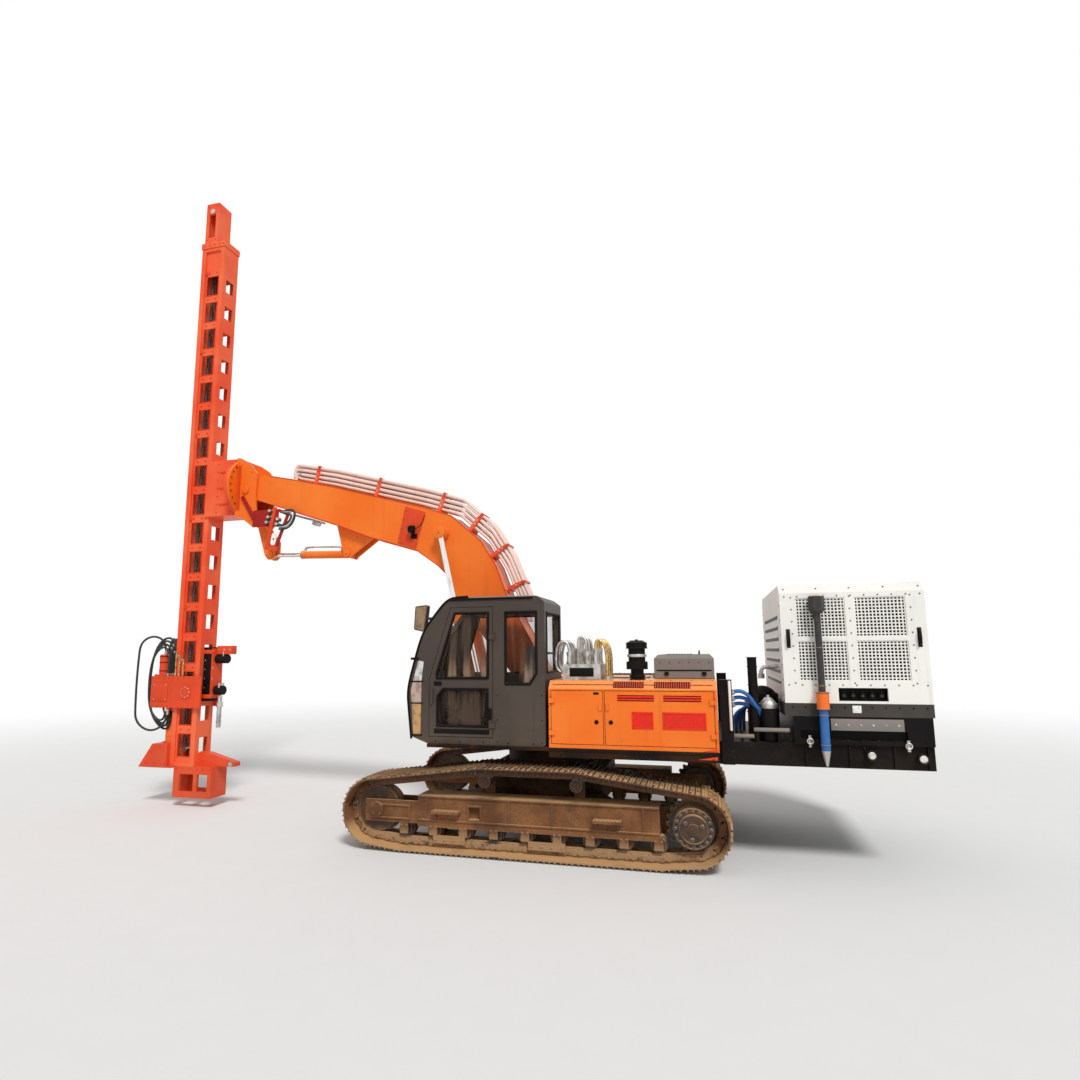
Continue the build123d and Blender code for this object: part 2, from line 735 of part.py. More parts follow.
def valve_block():
    """The valves behind the cab, with their row of fittings."""
    valves = block((420, 860), (-1180, -640), (HOUSE_ROOF, VALVE_TOP))
    for column in range(4):
        for row in range(3):
            x, y = 480 + column * 105, -1090 + row * 180
            valves += bar_z(x, y, 26, (VALVE_TOP, VALVE_TOP + 130 + 40 * (column % 2)))
    return valves


def house():
    save("deck_frame", deck())
    shell = house_shell()
    for pin in hood_hinges():
        shell += pin
    save("house_shell", shell)
    for name, (low, high, side) in SIDE_DOORS.items():
        hinge_at = low - HINGE_SET if name == "side_door_front" else high + HINGE_SET
        save(name, side_door(low, high, side, hinge_at))
    lid = hood()
    for leaf in hood_leaves():
        lid += leaf
    save("engine_hood", lid)
    save("engine_block", block(
        (HOUSE_REAR - 1130, HOUSE_REAR - 130), (-520, 520), (DECK_TOP, HOUSE_ROOF - 70)
    ))
    save("fuel_tank", fuel_tank())
    save("handrails", handrails())
    save("exhaust_stack", exhaust())
    save("valve_block", valve_block())


# Cab

CAB_SIDE = [
    (-1200, DECK_TOP), (-1420, 1290), (-1470, 1830), (-1285, CAB_ROOF - 410), (-985, CAB_ROOF - 40),
    (-880, CAB_ROOF), (CAB_REAR - 90, CAB_ROOF), (CAB_REAR, CAB_ROOF - 70), (CAB_REAR, DECK_TOP),
]
CAB_INSIDE = [
    (-1190, DECK_TOP + CAB_WALL), (-1362, 1335), (-1408, 1825), (-1230, CAB_ROOF - 440),
    (-950, CAB_ROOF - 90), (-860, CAB_ROOF - CAB_WALL), (CAB_REAR - 110, CAB_ROOF - CAB_WALL),
    (CAB_REAR - CAB_WALL, CAB_ROOF - 100), (CAB_REAR - CAB_WALL, DECK_TOP + CAB_WALL),
]
CAB_DOORWAY = [
    (-1190, 1290), (-1190, 1960), (-925, CAB_DOOR_HEAD), (CAB_DOOR_REAR, CAB_DOOR_HEAD),
    (CAB_DOOR_REAR, 1290),
]
DOOR_UPPER_WINDOW = [
    (-1090, 2040), (-868, CAB_WINDOW_HEAD), (-450, CAB_WINDOW_HEAD), (-450, 1975), (-1090, 1975),
]
DOOR_LOWER_WINDOW = [(-1080, 1420), (-1080, 1760), (-1010, 1845), (-455, 1845), (-455, 1420)]
REAR_SIDE_WINDOW = [
    (-230, 1910), (-230, CAB_WINDOW_HEAD), (140, CAB_WINDOW_HEAD), (140, 2030), (60, 1910),
]
FAR_SIDE_WINDOW = [(-1090, 2000), (-868, CAB_WINDOW_HEAD), (140, CAB_WINDOW_HEAD), (140, 2000)]
WINDOW_CORNER = 30
WINDSCREEN = (1900, CAB_ROOF - 450)
FRONT_LOWER_PANE = (1400, 1800)
REAR_PANE = (2040, CAB_WINDOW_HEAD)


def shrunk_door():
    """The door's own outline, a gap inside its doorway."""
    return offset(outline(CAB_DOORWAY), amount=-DOOR_GAP, kind=Kind.INTERSECTION)


def mirror_housing():
    """The mirror's case, which stands out in front of the cab's upper corner, and its arm."""
    case = outline([
        (-1405, CAB_ROOF - 375), (-1390, CAB_ROOF - 90), (-1225, CAB_ROOF - 75), (-1265, CAB_ROOF - 405),
    ], 22)
    arm = block((-1300, -1120), (CAB_OUTER + 40, CAB_OUTER + 70), (CAB_ROOF - 260, CAB_ROOF - 225))
    return plate(case, (CAB_OUTER + 10, CAB_OUTER + 90)) + arm


def cab():
    """The cab: a hollow shell with every window cut, its doorway, and the door's hinge pins."""
    shell = plate(outline(CAB_SIDE, 35), (CAB_OUTER, CAB_INNER))
    shell -= plate(outline(CAB_INSIDE), (CAB_OUTER + CAB_WALL, CAB_INNER - CAB_WALL))
    near = (CAB_OUTER - 1, CAB_OUTER + CAB_WALL + 1)
    far = (CAB_INNER - CAB_WALL - 1, CAB_INNER + 1)
    shell -= plate(outline(CAB_DOORWAY), near)
    shell -= plate(outline(REAR_SIDE_WINDOW, WINDOW_CORNER), near)
    shell -= plate(outline(FAR_SIDE_WINDOW, WINDOW_CORNER), far)
    window = (CAB_OUTER + PANE_MARGIN, CAB_INNER - PANE_MARGIN)
    low, high = WINDSCREEN
    shell -= plate(outline([(-1600, low), (-1600, high), (-1180, high), (-1350, low)]), window)
    shell -= plate(outline([
        (-1600, CAB_ROOF - 370), (-1100, CAB_ROOF - 70), (-900, CAB_ROOF - 140), (-1150, CAB_ROOF - 410),
    ]), window)
    low, high = FRONT_LOWER_PANE
    shell -= block((-1600, -1300), window, (low, high))
    shell -= block((CAB_REAR - CAB_WALL - 1, CAB_REAR + 1), window, REAR_PANE)
    shell += mirror_housing()
    for z in CAB_DOOR_HINGES:
        shell += hinge_pin(CAB_DOOR_REAR + HINGE_SET, CAB_OUTER - HINGE_STAND, z, -1, -CAB_OUTER)
    return shell


def cab_door():
    """The cab's door with its two windows, a handle and its hinge sleeves."""
    depth = CAB_DOOR_DEPTH
    door = plate(shrunk_door(), (CAB_OUTER, CAB_OUTER + depth))
    cut = (CAB_OUTER - 1, CAB_OUTER + depth + 1)
    door -= plate(outline(DOOR_UPPER_WINDOW), cut)
    door -= plate(outline(DOOR_LOWER_WINDOW), cut)
    for z in CAB_DOOR_HINGES:
        door += hinge_knuckle(
            CAB_DOOR_REAR + HINGE_SET, CAB_OUTER - HINGE_STAND, z, -60, -1, depth
        )
    door += block((-1165, -1135), (CAB_OUTER - 24, CAB_OUTER - 14), (1670, 1850))
    for z in (1680, 1820):
        door += block((-1165, -1135), (CAB_OUTER - 24, CAB_OUTER), (z, z + 20))
    return door


def cab_glass():
    """The panes that the shell holds, each a little inside its opening."""
    middle = CAB_OUTER + CAB_WALL / 2
    far = CAB_INNER - CAB_WALL / 2
    panes = [
        plate(offset(outline(REAR_SIDE_WINDOW, WINDOW_CORNER), amount=-GAP), (middle, middle + GLASS)),
        plate(offset(outline(FAR_SIDE_WINDOW, WINDOW_CORNER), amount=-GAP), (far, far + GLASS)),
    ]
    width = (CAB_OUTER + PANE_MARGIN + GAP, CAB_INNER - PANE_MARGIN - GAP)
    low, high = REAR_PANE[0] + GAP, REAR_PANE[1] - GAP
    panes.append(block((CAB_REAR - 30 - GLASS, CAB_REAR - 30), width, (low, high)))
    # the front panes: heights, and X of each one's foot and head
    for (low, high), foot, head in ((WINDSCREEN, -1448, -1298), (FRONT_LOWER_PANE, -1444, -1450)):
        panes.append(plate(outline([
            (foot, low + GAP), (head, high - GAP), (head + GLASS, high - GAP), (foot + GLASS, low + GAP),
        ]), width))
    return panes


def door_glass():
    """The door's two panes."""
    middle = CAB_OUTER + 20
    return [
        plate(offset(outline(points), amount=-GAP), (middle, middle + GLASS))
        for points in (DOOR_UPPER_WINDOW, DOOR_LOWER_WINDOW)
    ]


def seat_frame():
    """The seat's stand and the two armrest consoles beside it."""
    stand = block((-560, -20), (-1060, -680), (DECK_TOP + CAB_WALL, SEAT_HEIGHT))
    rest = SEAT_HEIGHT + 200
    for low, high in ((-1140, -1066), (-674, -600)):
        stand += block((-620, -160), (low, high), (SEAT_HEIGHT - 60, rest))
        stand += bar_z(-590, (low + high) / 2, 14, (rest, rest + 140))
    return stand + block((-560, -160), (-1140, -600), (SEAT_HEIGHT - 60, SEAT_HEIGHT - 20))


def seat_cushions():
    """The cushion and the back, which lean against each other's corner."""
    foot, head = SEAT_HEIGHT + GAP, SEAT_HEIGHT + 820
    cushion = block((-620, -150), (-1056, -684), (foot, SEAT_HEIGHT + 120))
    back = outline([(-145, foot), (-145, SEAT_HEIGHT + 140), (-60, head), (30, head), (-25, foot)])
    return [cushion, plate(back, (-1050, -690))]


def cab_console():
    """The foot pedals' plinth and the column with the two travel levers."""
    top = DECK_TOP + 210
    console = block((-1180, -980), (-1000, -740), (DECK_TOP + CAB_WALL, top))
    for y in (-920, -820):
        console += bar_z(-1060, y, 14, (top, top + 300))
    return console


def cab_pieces():
    save("cab_shell", cab())
    save("cab_glass", *cab_glass())
    save("cab_door", cab_door())
    save("door_glass", *door_glass())
    save("seat_frame", seat_frame())
    save("seat_cushions", *seat_cushions())
    save("cab_console", cab_console())


# Boom

BOOM_SIDE = [
    (-4865, 4915), (-4510, 5030), (-3980, 4920), (-3300, 4760), (-2470, 4530), (-1760, 4335),
    (-1370, 4195), (-925, 3810), (-710, 3460), (-540, 3010), (10, 2000),
    (-20, 1780), (-200, 1715), (-330, 1790), (-1290, 3020), (-1365, 3300), (-1560, 3490),
    (-1900, 3730), (-2620, 3950), (-3250, 4190), (-4660, 4660),
]
GUSSET = [(-3250, 4215), (-3120, 3720), (-3010, 3670), (-2960, 3720), (-2620, 3965), (-2900, 4150)]


def boom():
    """The boom: a box of plates, its two pin bosses, the cylinder bosses and the gusset below."""
    foot_bore = bar_y(*BOOM_FOOT, 50 + PIN_FIT, (-BOOM_HALF_WIDTH - 9, BOOM_HALF_WIDTH + 9))
    face = outline(BOOM_SIDE)
    body = plate(face, (-BOOM_HALF_WIDTH, BOOM_HALF_WIDTH))
    inside = BOOM_HALF_WIDTH - BOOM_WALL
    body -= plate(offset(face, amount=-BOOM_WALL, kind=Kind.INTERSECTION), (-inside, inside))
    body += bar_y(*BOOM_FOOT, FOOT_RADIUS, (-BOOM_HALF_WIDTH, BOOM_HALF_WIDTH))
    body += bar_y(*BOOM_NOSE, NOSE_RADIUS, (-BOOM_HALF_WIDTH, BOOM_HALF_WIDTH))
    for side in (-1, 1):
        reach = LIFT_Y - 36 - CLEAR
        body += bar_y(*LIFT_EYE, 95, sorted((side * (BOOM_HALF_WIDTH - 5), side * reach)))
        band = outline([(-2080, 4375), (-1760, 4275), (-1900, 3760), (-2190, 3850)])
        body += plate(band, sorted((side * BOOM_HALF_WIDTH, side * (BOOM_HALF_WIDTH + 10))))
        near = TILT_BASE_HALF + CLEAR
        gusset_y = sorted((side * near, side * (near + HEAD_WALL)))
        body += plate(outline(GUSSET), gusset_y)
    pin_half = TILT_BASE_HALF + CLEAR + HEAD_WALL + 12
    body += bar_y(*TILT_BASE, 30, (-pin_half, pin_half))
    nose_bore = bar_y(*BOOM_NOSE, 45 + PIN_FIT, (-BOOM_HALF_WIDTH - 9, BOOM_HALF_WIDTH + 9))
    return body - foot_bore - nose_bore


PIPE_ROUTE = [
    (-3900, 4985), (-3300, 4855), (-1850, 4455), (-1270, 4265), (-820, 3870), (-560, 3460),
    (-330, 2900),
]


def boom_pipes():
    """The pressure pipes along the boom's back, in two layers, and the clamps that hold them."""
    pipes = []
    for layer in range(PIPE_LAYERS):
        lift = PIPE_LIFT + layer * PIPE_LAYER
        points = [(x + lift * PIPE_LEAN, z + lift) for x, z in PIPE_ROUTE]
        for i in range(BOOM_PIPES):
            y = (i - (BOOM_PIPES - 1) / 2) * PIPE_SPACING
            pipes.append(pipe_run([(x, y, z) for x, z in points], PIPE_RADIUS_BOOM, PIPE_BEND))
    return pipes


def pipe_clamps(carrier):
    """The clamps round the pipes: each a frame with a slot for each layer, seated on the boom."""
    slot = (BOOM_PIPES - 1) * PIPE_SPACING + 2 * (PIPE_RADIUS_BOOM + GAP)
    clamps = []
    for start, end in zip(PIPE_ROUTE, PIPE_ROUTE[1:]):
        x, z = (start[0] + end[0]) / 2, (start[1] + end[1]) / 2
        run = Vector(end[0] - start[0], 0, end[1] - start[1]).normalized()
        across = Plane(origin=(x, 0, z), x_dir=(0, 1, 0), z_dir=run)
        up = 1 if across.y_dir.Z > 0 else -1
        lean = abs(Vector(PIPE_LEAN, 0, 1).dot(across.y_dir))
        top = (PIPE_LIFT + (PIPE_LAYERS - 1) * PIPE_LAYER) * lean + PIPE_RADIUS_BOOM + 12
        face = Pos(0, up * (top - PIPE_CLAMP_FOOT) / 2) * Rectangle(slot + 40, top + PIPE_CLAMP_FOOT)
        for layer in range(PIPE_LAYERS):
            height = (PIPE_LIFT + layer * PIPE_LAYER) * lean
            face -= Pos(0, up * height) * Rectangle(slot, 2 * (PIPE_RADIUS_BOOM + GAP))
        clamps.append(extrude(across * face, PIPE_CLAMP_LENGTH / 2, both=True) - carrier)
    return [max(clamp.solids(), key=lambda solid: solid.volume) for clamp in clamps]


def lift_cylinder(side):
    """One lift cylinder's barrel, its base eye on the deck's pin."""
    y = side * LIFT_Y
    end = along(LIFT_BASE, LIFT_EYE, LIFT_BARREL_LENGTH)
    start = along(LIFT_BASE, LIFT_EYE, 60)
    barrel = strut(start, end, LIFT_BARREL_RADIUS, y)
    barrel += bar_y(*LIFT_BASE, 75, (y - 38, y + 38))
    barrel -= strut(
        along(LIFT_BASE, LIFT_EYE, 150), along(LIFT_BASE, LIFT_EYE, LIFT_BARREL_LENGTH + 5),
        LIFT_ROD_RADIUS + PIN_FIT, y,
    )
    return barrel - bar_y(*LIFT_BASE, 36 + PIN_FIT, (y - 60, y + 60))


def lift_rod(side):
    """One lift cylinder's rod, its eye beside the boom's boss."""
    y = side * LIFT_Y
    start = along(LIFT_EYE, LIFT_BASE, LIFT_ROD_LENGTH)
    rod = strut(start, along(LIFT_EYE, LIFT_BASE, 40), LIFT_ROD_RADIUS, y)
    return rod + bar_y(*LIFT_EYE, 78, (y - 36, y + 36))


def tilt_barrel():
    """The tilt cylinder's barrel between the gusset's plates."""
    mouth = along(TILT_BASE, TILT_EYE, TILT_BARREL_LENGTH)
    barrel = strut(along(TILT_BASE, TILT_EYE, 50), mouth, TILT_BARREL_RADIUS, 0)
    barrel += bar_y(*TILT_BASE, 58, (-TILT_BASE_HALF, TILT_BASE_HALF))
    beyond = along(TILT_BASE, TILT_EYE, TILT_BARREL_LENGTH + 5)
    barrel -= strut(along(TILT_BASE, TILT_EYE, 90), beyond, TILT_ROD_RADIUS + PIN_FIT, 0)
    return barrel - bar_y(*TILT_BASE, 30 + PIN_FIT, (-99, 99))


def tilt_rod():
    """The tilt cylinder's rod, its eye between the lever's plates."""
    inner = along(TILT_EYE, TILT_BASE, TILT_ROD_LENGTH)
    rod = strut(inner, along(TILT_EYE, TILT_BASE, 30), TILT_ROD_RADIUS, 0)
    return rod + bar_y(*TILT_EYE, 52, (-TILT_EYE_HALF, TILT_EYE_HALF))


HEAD_PLATE = 40
HEAD_SIDE = [
    (HEAD_FACE + HEAD_PLATE, GUIDE_BOTTOM), (HEAD_FACE + HEAD_PLATE, GUIDE_TOP), (-4870, GUIDE_TOP - 20),
    (-4700, 5200), (-4590, 5060), (-4600, 4700), (-4560, 4300), (-4640, 4220),
]
HEAD_LEVER = [
    (-4930, 4400), (-4560, 4400), (-4560, 4300), (-4330, 4000), (-4330, 3760), (-4380, 3715),
    (-4440, 3715), (-4500, 3780), (-4640, 4220), (-4930, 4380),
]


def tilt_head():
    """The head that turns on the boom's nose: two plates, a front face and the lever below."""
    inner = BOOM_HALF_WIDTH + CLEAR
    outer = inner + HEAD_WALL
    front = (HEAD_FACE, HEAD_FACE + HEAD_PLATE)
    head = block(front, (-outer, outer), (GUIDE_BOTTOM, GUIDE_TOP))
    head += bar_x(0, FLANGE_CENTRE, FLANGE_RADIUS, front)
    for side in (-1, 1):
        head += plate(outline(HEAD_SIDE), sorted((side * inner, side * outer)))
        near = TILT_EYE_HALF + CLEAR
        head += plate(outline(HEAD_LEVER), sorted((side * near, side * (near + HEAD_WALL))))
    head += block((HEAD_FACE, -4620), (-outer, outer), (GUIDE_BOTTOM - 45, GUIDE_BOTTOM))
    head += bar_y(*BOOM_NOSE, 45, (-outer - 12, outer + 12))
    bore = (HEAD_FACE - 1, HEAD_FACE + HEAD_PLATE + 20)
    return head - bar_x(0, FLANGE_CENTRE, SWING_PIN_RADIUS + PIN_FIT, bore)


def swing_flange():
    """The flange that swings on the head's face, with its centre pin."""
    face = HEAD_FACE - GAP
    flange = bar_x(0, FLANGE_CENTRE, FLANGE_RADIUS, (face - SWING_PLATE, face))
    return flange + bar_x(0, FLANGE_CENTRE, SWING_PIN_RADIUS, (face - SWING_PLATE, HEAD_FACE + HEAD_PLATE))


def guide_cheeks():
    """The two cheeks beside the mast that it slides between."""
    inner = MAST_SIDE + GAP
    x = (MAST_REAR - 60, HEAD_FACE - GAP - SWING_PLATE)
    return [
        block(x, sorted((side * inner, side * (inner + GUIDE_WALL))), (GUIDE_BOTTOM, GUIDE_TOP))
        for side in (-1, 1)
    ]


def guide_rungs():
    """The cross pieces between the cheeks, which the mast's back slides along."""
    inner = MAST_SIDE + GAP
    x = (MAST_REAR + GAP, HEAD_FACE - GAP - SWING_PLATE)
    step = (GUIDE_TOP - GUIDE_BOTTOM - GUIDE_RUNG) / (GUIDE_RUNGS - 1)
    lows = [GUIDE_BOTTOM + row * step for row in range(GUIDE_RUNGS)]
    return [block(x, (-inner, inner), (low, low + GUIDE_RUNG)) for low in lows]


def mast_beam():
    """The mast: a hollow box with windows between its rungs and a rail at each corner."""
    x, y, z = (MAST_FRONT, MAST_REAR), (-MAST_SIDE, MAST_SIDE), (MAST_FOOT, MAST_COLLAR)
    beam = block(x, y, z)
    inside = MAST_SIDE - MAST_RECESS - MAST_WEB
    beam -= block(
        (x[0] + MAST_POST / 2, x[1] - MAST_WEB), (-inside, inside), (z[0] - 1, z[1] + 1),
    )
    for side in (-1, 1):
        beam -= block(
            (x[0] + MAST_POST, x[1] - MAST_POST),
            sorted((side * (MAST_SIDE - MAST_RECESS), side * (MAST_SIDE + 1))), (z[0] + 60, z[1] - 60),
        )
    windows = []
    count = int((z[1] - z[0] - 200) / RUNG_PITCH)
    for i in range(count):
        low = z[0] + 140 + i * RUNG_PITCH
        high = low + RUNG_PITCH - RUNG_HEIGHT
        side_x = (x[0] + MAST_POST + 30, x[1] - MAST_POST - 30)
        windows.append(block(side_x, (y[0] - 1, y[1] + 1), (low, high)))
        back_y = (y[0] + MAST_POST, y[1] - MAST_POST)
        windows.append(block((x[1] - MAST_WEB - 1, x[1] + 1), back_y, (low + 60, high - 60)))
    return beam.cut(*windows)


def mast_top():
    """The collar and the narrower crown above it, with the two sheaves' cheeks."""
    lip, step = 12, MAST_COLLAR + 100
    side = MAST_SIDE + lip
    top = block((MAST_FRONT - lip, MAST_REAR + lip), (-side, side), (MAST_COLLAR, step))
    front, rear, side = MAST_FRONT + 20, MAST_REAR - 180, MAST_SIDE - 20
    crown = block((front, rear), (-side, side), (step, MAST_TOP))
    crown -= block((front + 40, rear - 40), (-side + 30, side - 30), (step, MAST_TOP - 60))
    crown -= block((front + 60, rear - 60), (-side - 1, side + 1), (step + 120, MAST_TOP - 200))
    return top + crown


def mast_foot():
    """The open box under the mast and the lever that stands out behind it."""
    x, y, z = (MAST_FRONT + 90, MAST_REAR + 320), (-MAST_SIDE, MAST_SIDE), (FOOT_FLOOR, MAST_FOOT)
    foot = block(x, y, z)
    foot -= block((x[0] + 40, x[1] - 40), (y[0] + 40, y[1] - 40), (z[0] - 1, z[1] - 50))
    foot -= block((x[0] + 110, x[0] + 360), (y[0] - 1, y[1] + 1), (z[0] + 90, z[1] - 110))
    foot -= block((x[0] + 430, x[1] - 70), (y[0] - 1, y[1] + 1), (z[0] + 90, z[1] - 110))
    lever = outline([
        (MAST_REAR, MAST_FOOT), (MAST_REAR, MAST_FOOT + 210), (MAST_REAR + 140, MAST_FOOT + 200),
        (MAST_REAR + 640, MAST_FOOT + 70), (MAST_REAR + 640, MAST_FOOT + 10), (x[1], MAST_FOOT),
    ])
    return foot + plate(lever, (-60, 60))


def guard_table():
    """The breakout table round the drill string, with its clear hole."""
    rear, floor = MAST_FRONT + 90, MAST_FOOT - 20
    table = outline([
        (-FRONT_REACH + 240, GUARD_TOP), (MAST_FRONT, GUARD_TOP), (MAST_FRONT, MAST_FOOT),
        (rear, MAST_FOOT), (rear, floor), (-FRONT_REACH, floor),
    ])
    body = plate(table, (-HEAD_HALF_WIDTH, HEAD_HALF_WIDTH))
    return body - bar_z(SPINDLE_X, 0, PIPE_RADIUS + 24, (floor - 1, GUARD_TOP + 1))


def feed_motor():
    """The feed motor and its gearbox on the mast's rear face."""
    face = MAST_REAR + 170
    body = block((MAST_REAR, face), (-90, 90), (1560, 2380))
    return body + bar_x(0, 2200, 70, (face, face + 200)) + bar_x(0, 1720, 70, (face, face + 150))


def rotary_head():
    """The rotary head: a gearbox in front of the mast with its two motors."""
    gearbox = block(
        (HEAD_FRONT, MAST_FRONT - CLEAR), (-HEAD_HALF_WIDTH, HEAD_HALF_WIDTH), (HEAD_BOTTOM, HEAD_TOP)
    )
    for side in (-1, 1):
        gearbox += bar_z(MOTOR_X, side * MOTOR_Y, 80, (HEAD_TOP, HEAD_TOP + MOTOR_HEIGHT))
        gearbox += bar_z(HOSE_RETURN_X, side * HOSE_RETURN_Y, 25, (HEAD_BOTTOM - 30, HEAD_BOTTOM))
    return gearbox - bar_z(SPINDLE_X, 0, 60 + PIN_FIT, (HEAD_BOTTOM - 1, HEAD_BOTTOM + 200))


def rotary_plates():
    """The carriage's two side plates, which reach past the mast and clear its guide."""
    inner = MAST_SIDE + GAP + GUIDE_WALL + CLEAR
    return [
        block(
            (MAST_FRONT - CLEAR, HEAD_REAR), sorted((side * inner, side * HEAD_HALF_WIDTH)),
            (HEAD_BOTTOM, HEAD_TOP),
        )
        for side in (-1, 1)
    ]


def feed_shoes():
    """The shoes between the carriage's plates and the mast's front rails."""
    inner = MAST_SIDE + GAP
    outer = MAST_SIDE + GAP + GUIDE_WALL + CLEAR
    return [
        block(
            (MAST_FRONT + 6, MAST_FRONT + MAST_POST - 8), sorted((side * inner, side * outer)),
            (low, low + FEED_SHOE_HEIGHT),
        )
        for side in (-1, 1) for low in (HEAD_BOTTOM, HEAD_TOP - FEED_SHOE_HEIGHT)
    ]


def spindle():
    """The spindle and the drill pipe that it turns, down into the table."""
    shaft = bar_z(SPINDLE_X, 0, 60, (HEAD_BOTTOM - 70, HEAD_BOTTOM + 195))
    pipe = bar_z(SPINDLE_X, 0, PIPE_RADIUS, (PIPE_END, HEAD_BOTTOM - 70))
    return shaft + pipe - bar_z(SPINDLE_X, 0, DRILL_BORE, (PIPE_END - 1, PIPE_END + DRILL_SOCKET))


HOSE_LOOPS = {
    "rotary_hose_outer": [
        (-6200, -110, 2270), (-6200, -110, 2470), (-6366, -201, 2579), (-6528, -289, 2470),
        (-6540, -296, 2180), (-6544, -298, 1850), (-6538, -297, 1530), (-6526, -291, 1240),
        (-6268, -249, 1085), (-6010, -205, 1230), (-6010, -205, 1430),
    ],
    "rotary_hose_inner": [
        (-6200, 110, 2270), (-6200, 110, 2450), (-6342, 188, 2546), (-6480, 266, 2448),
        (-6496, 276, 2160), (-6500, 279, 1860), (-6494, 276, 1570), (-6478, 270, 1295),
        (-6244, 238, 1140), (-6010, 205, 1226), (-6010, 205, 1430),
    ],
}


def cord_radii(points):
    """Each bend's radius: as large as its two runs allow."""
    radii = []
    for before, at, after in zip(points, points[1:], points[2:]):
        arrive, leave = Vector(at) - Vector(before), Vector(after) - Vector(at)
        turn = radians(arrive.get_angle(leave))
        radii.append(0.45 * min(arrive.length, leave.length) / tan(turn / 2))
    return radii


def cord(name, points, radius):
    """A hose along its route, straight runs joined by tangent arcs, with its bends printed."""
    radii = cord_radii(points)
    print(name, "bends", [round(bend) for bend in radii])
    path = FilletPolyline(*points, radius=radii)
    start = Plane(origin=path @ 0, z_dir=path % 0)
    tube = sweep(start * Circle(radius), path=path)
    print(name, "volume over section times length", round(tube.volume / (pi * radius**2 * path.length), 4))
    return tube


def mast_pieces():
    arm = boom()
    save("boom", arm)
    save("pipe_clamps", *pipe_clamps(arm))
    save("boom_pipes", *boom_pipes())
    save("lift_barrels", *[lift_cylinder(side) for side in (-1, 1)])
    save("lift_rods", *[lift_rod(side) for side in (-1, 1)])
    save("tilt_barrel", tilt_barrel())
    save("tilt_rod", tilt_rod())
    save("tilt_head", tilt_head())
    save("swing_flange", swing_flange())
    save("guide_cheeks", *guide_cheeks())
    save("guide_rungs", *guide_rungs())
    save("mast_beam", mast_beam())
    save("mast_top", mast_top())
    save("mast_foot", mast_foot())
    save("guard_table", guard_table())
    save("feed_motor", feed_motor())
    save("rotary_head", rotary_head())
    save("rotary_plates", *rotary_plates())
    save("feed_shoes", *feed_shoes())
    for name, points in HOSE_LOOPS.items():
        save(name, cord(name, points, HOSE_RADIUS))
    save("spindle", spindle())


# Compressor

def platform():
    """The frame behind the house that carries the compressor."""
    half = PLATFORM_HALF_WIDTH
    rear, step, front = REAR_REACH - 20, PLATFORM_FLOOR + 240, CANOPY_FRONT + 70
    frame = block((HOUSE_REAR, rear), (-half + 40, half - 40), (PLATFORM_FLOOR, step))
    frame += block((front, rear), (-half, half), (step, PLATFORM_TOP))
    wells = ((HOUSE_REAR + 90, front - 80, step - 40), (front + 60, rear - 70, PLATFORM_TOP - 40))
    for low, high, roof in wells:
        for side in (-1, 1):
            frame -= block((low, high), sorted((side * 60, side * (half - 130))), (PLATFORM_FLOOR - 1, roof))
    for side in (-1, 1):
        slot = sorted((side * (half - 60), side * (half + 1)))
        frame -= block((front + 60, rear - 240), slot, (step + 40, step + 140))
        column = sorted((side * half, side * (half - 90)))
        frame += block((HOUSE_REAR + 30, HOUSE_REAR + 160), column, (PLATFORM_FLOOR, HOUSE_ROOF + 10))
    return frame


def compressor_base():
    """The rail between the platform and the canopy."""
    half = PLATFORM_HALF_WIDTH
    return block((CANOPY_FRONT - 10, REAR_REACH), (-half, half), (PLATFORM_TOP, CANOPY_FLOOR))


def grille_places():
    """The low corner of each perforated panel, along X and Z."""
    columns = (CANOPY_FRONT + 160, REAR_REACH - 180 - GRILLE_WIDTH)
    rows = (CANOPY_FLOOR + 230, CANOPY_TOP - 150 - GRILLE_HEIGHT)
    return [(x, z) for z in rows for x in columns]


def canopy():
    """The compressor's canopy: hollow, its top edges sloped, with a hole behind every panel."""
    half = PLATFORM_HALF_WIDTH
    shell = canopy_block(half, CANOPY_TOP, CANOPY_CHAMFER, (CANOPY_FRONT, REAR_REACH))
    wall = CANOPY_WALL
    shell -= canopy_block(
        half - wall, CANOPY_TOP - wall, CANOPY_CHAMFER - 16, (CANOPY_FRONT + wall, REAR_REACH - wall)
    )
    for x, z in grille_places():
        shell -= block((x, x + GRILLE_WIDTH), (-half - 1, half + 1), (z, z + GRILLE_HEIGHT))
    low = CANOPY_FLOOR + 25
    return shell - block((CANOPY_FRONT + 530, REAR_REACH - 410), (-half - 1, half + 1), (low, low + 135))


def canopy_block(half, top, slope, x):
    """A box open to the rail below, its two long upper edges sloped."""
    section = outline([
        (-half, CANOPY_FLOOR), (half, CANOPY_FLOOR), (half, top - slope), (half - slope, top),
        (-half + slope, top), (-half, top - slope),
    ])
    return extrude(Plane(origin=(x[0], 0, 0), x_dir=(0, 1, 0), z_dir=(1, 0, 0)) * section, x[1] - x[0])


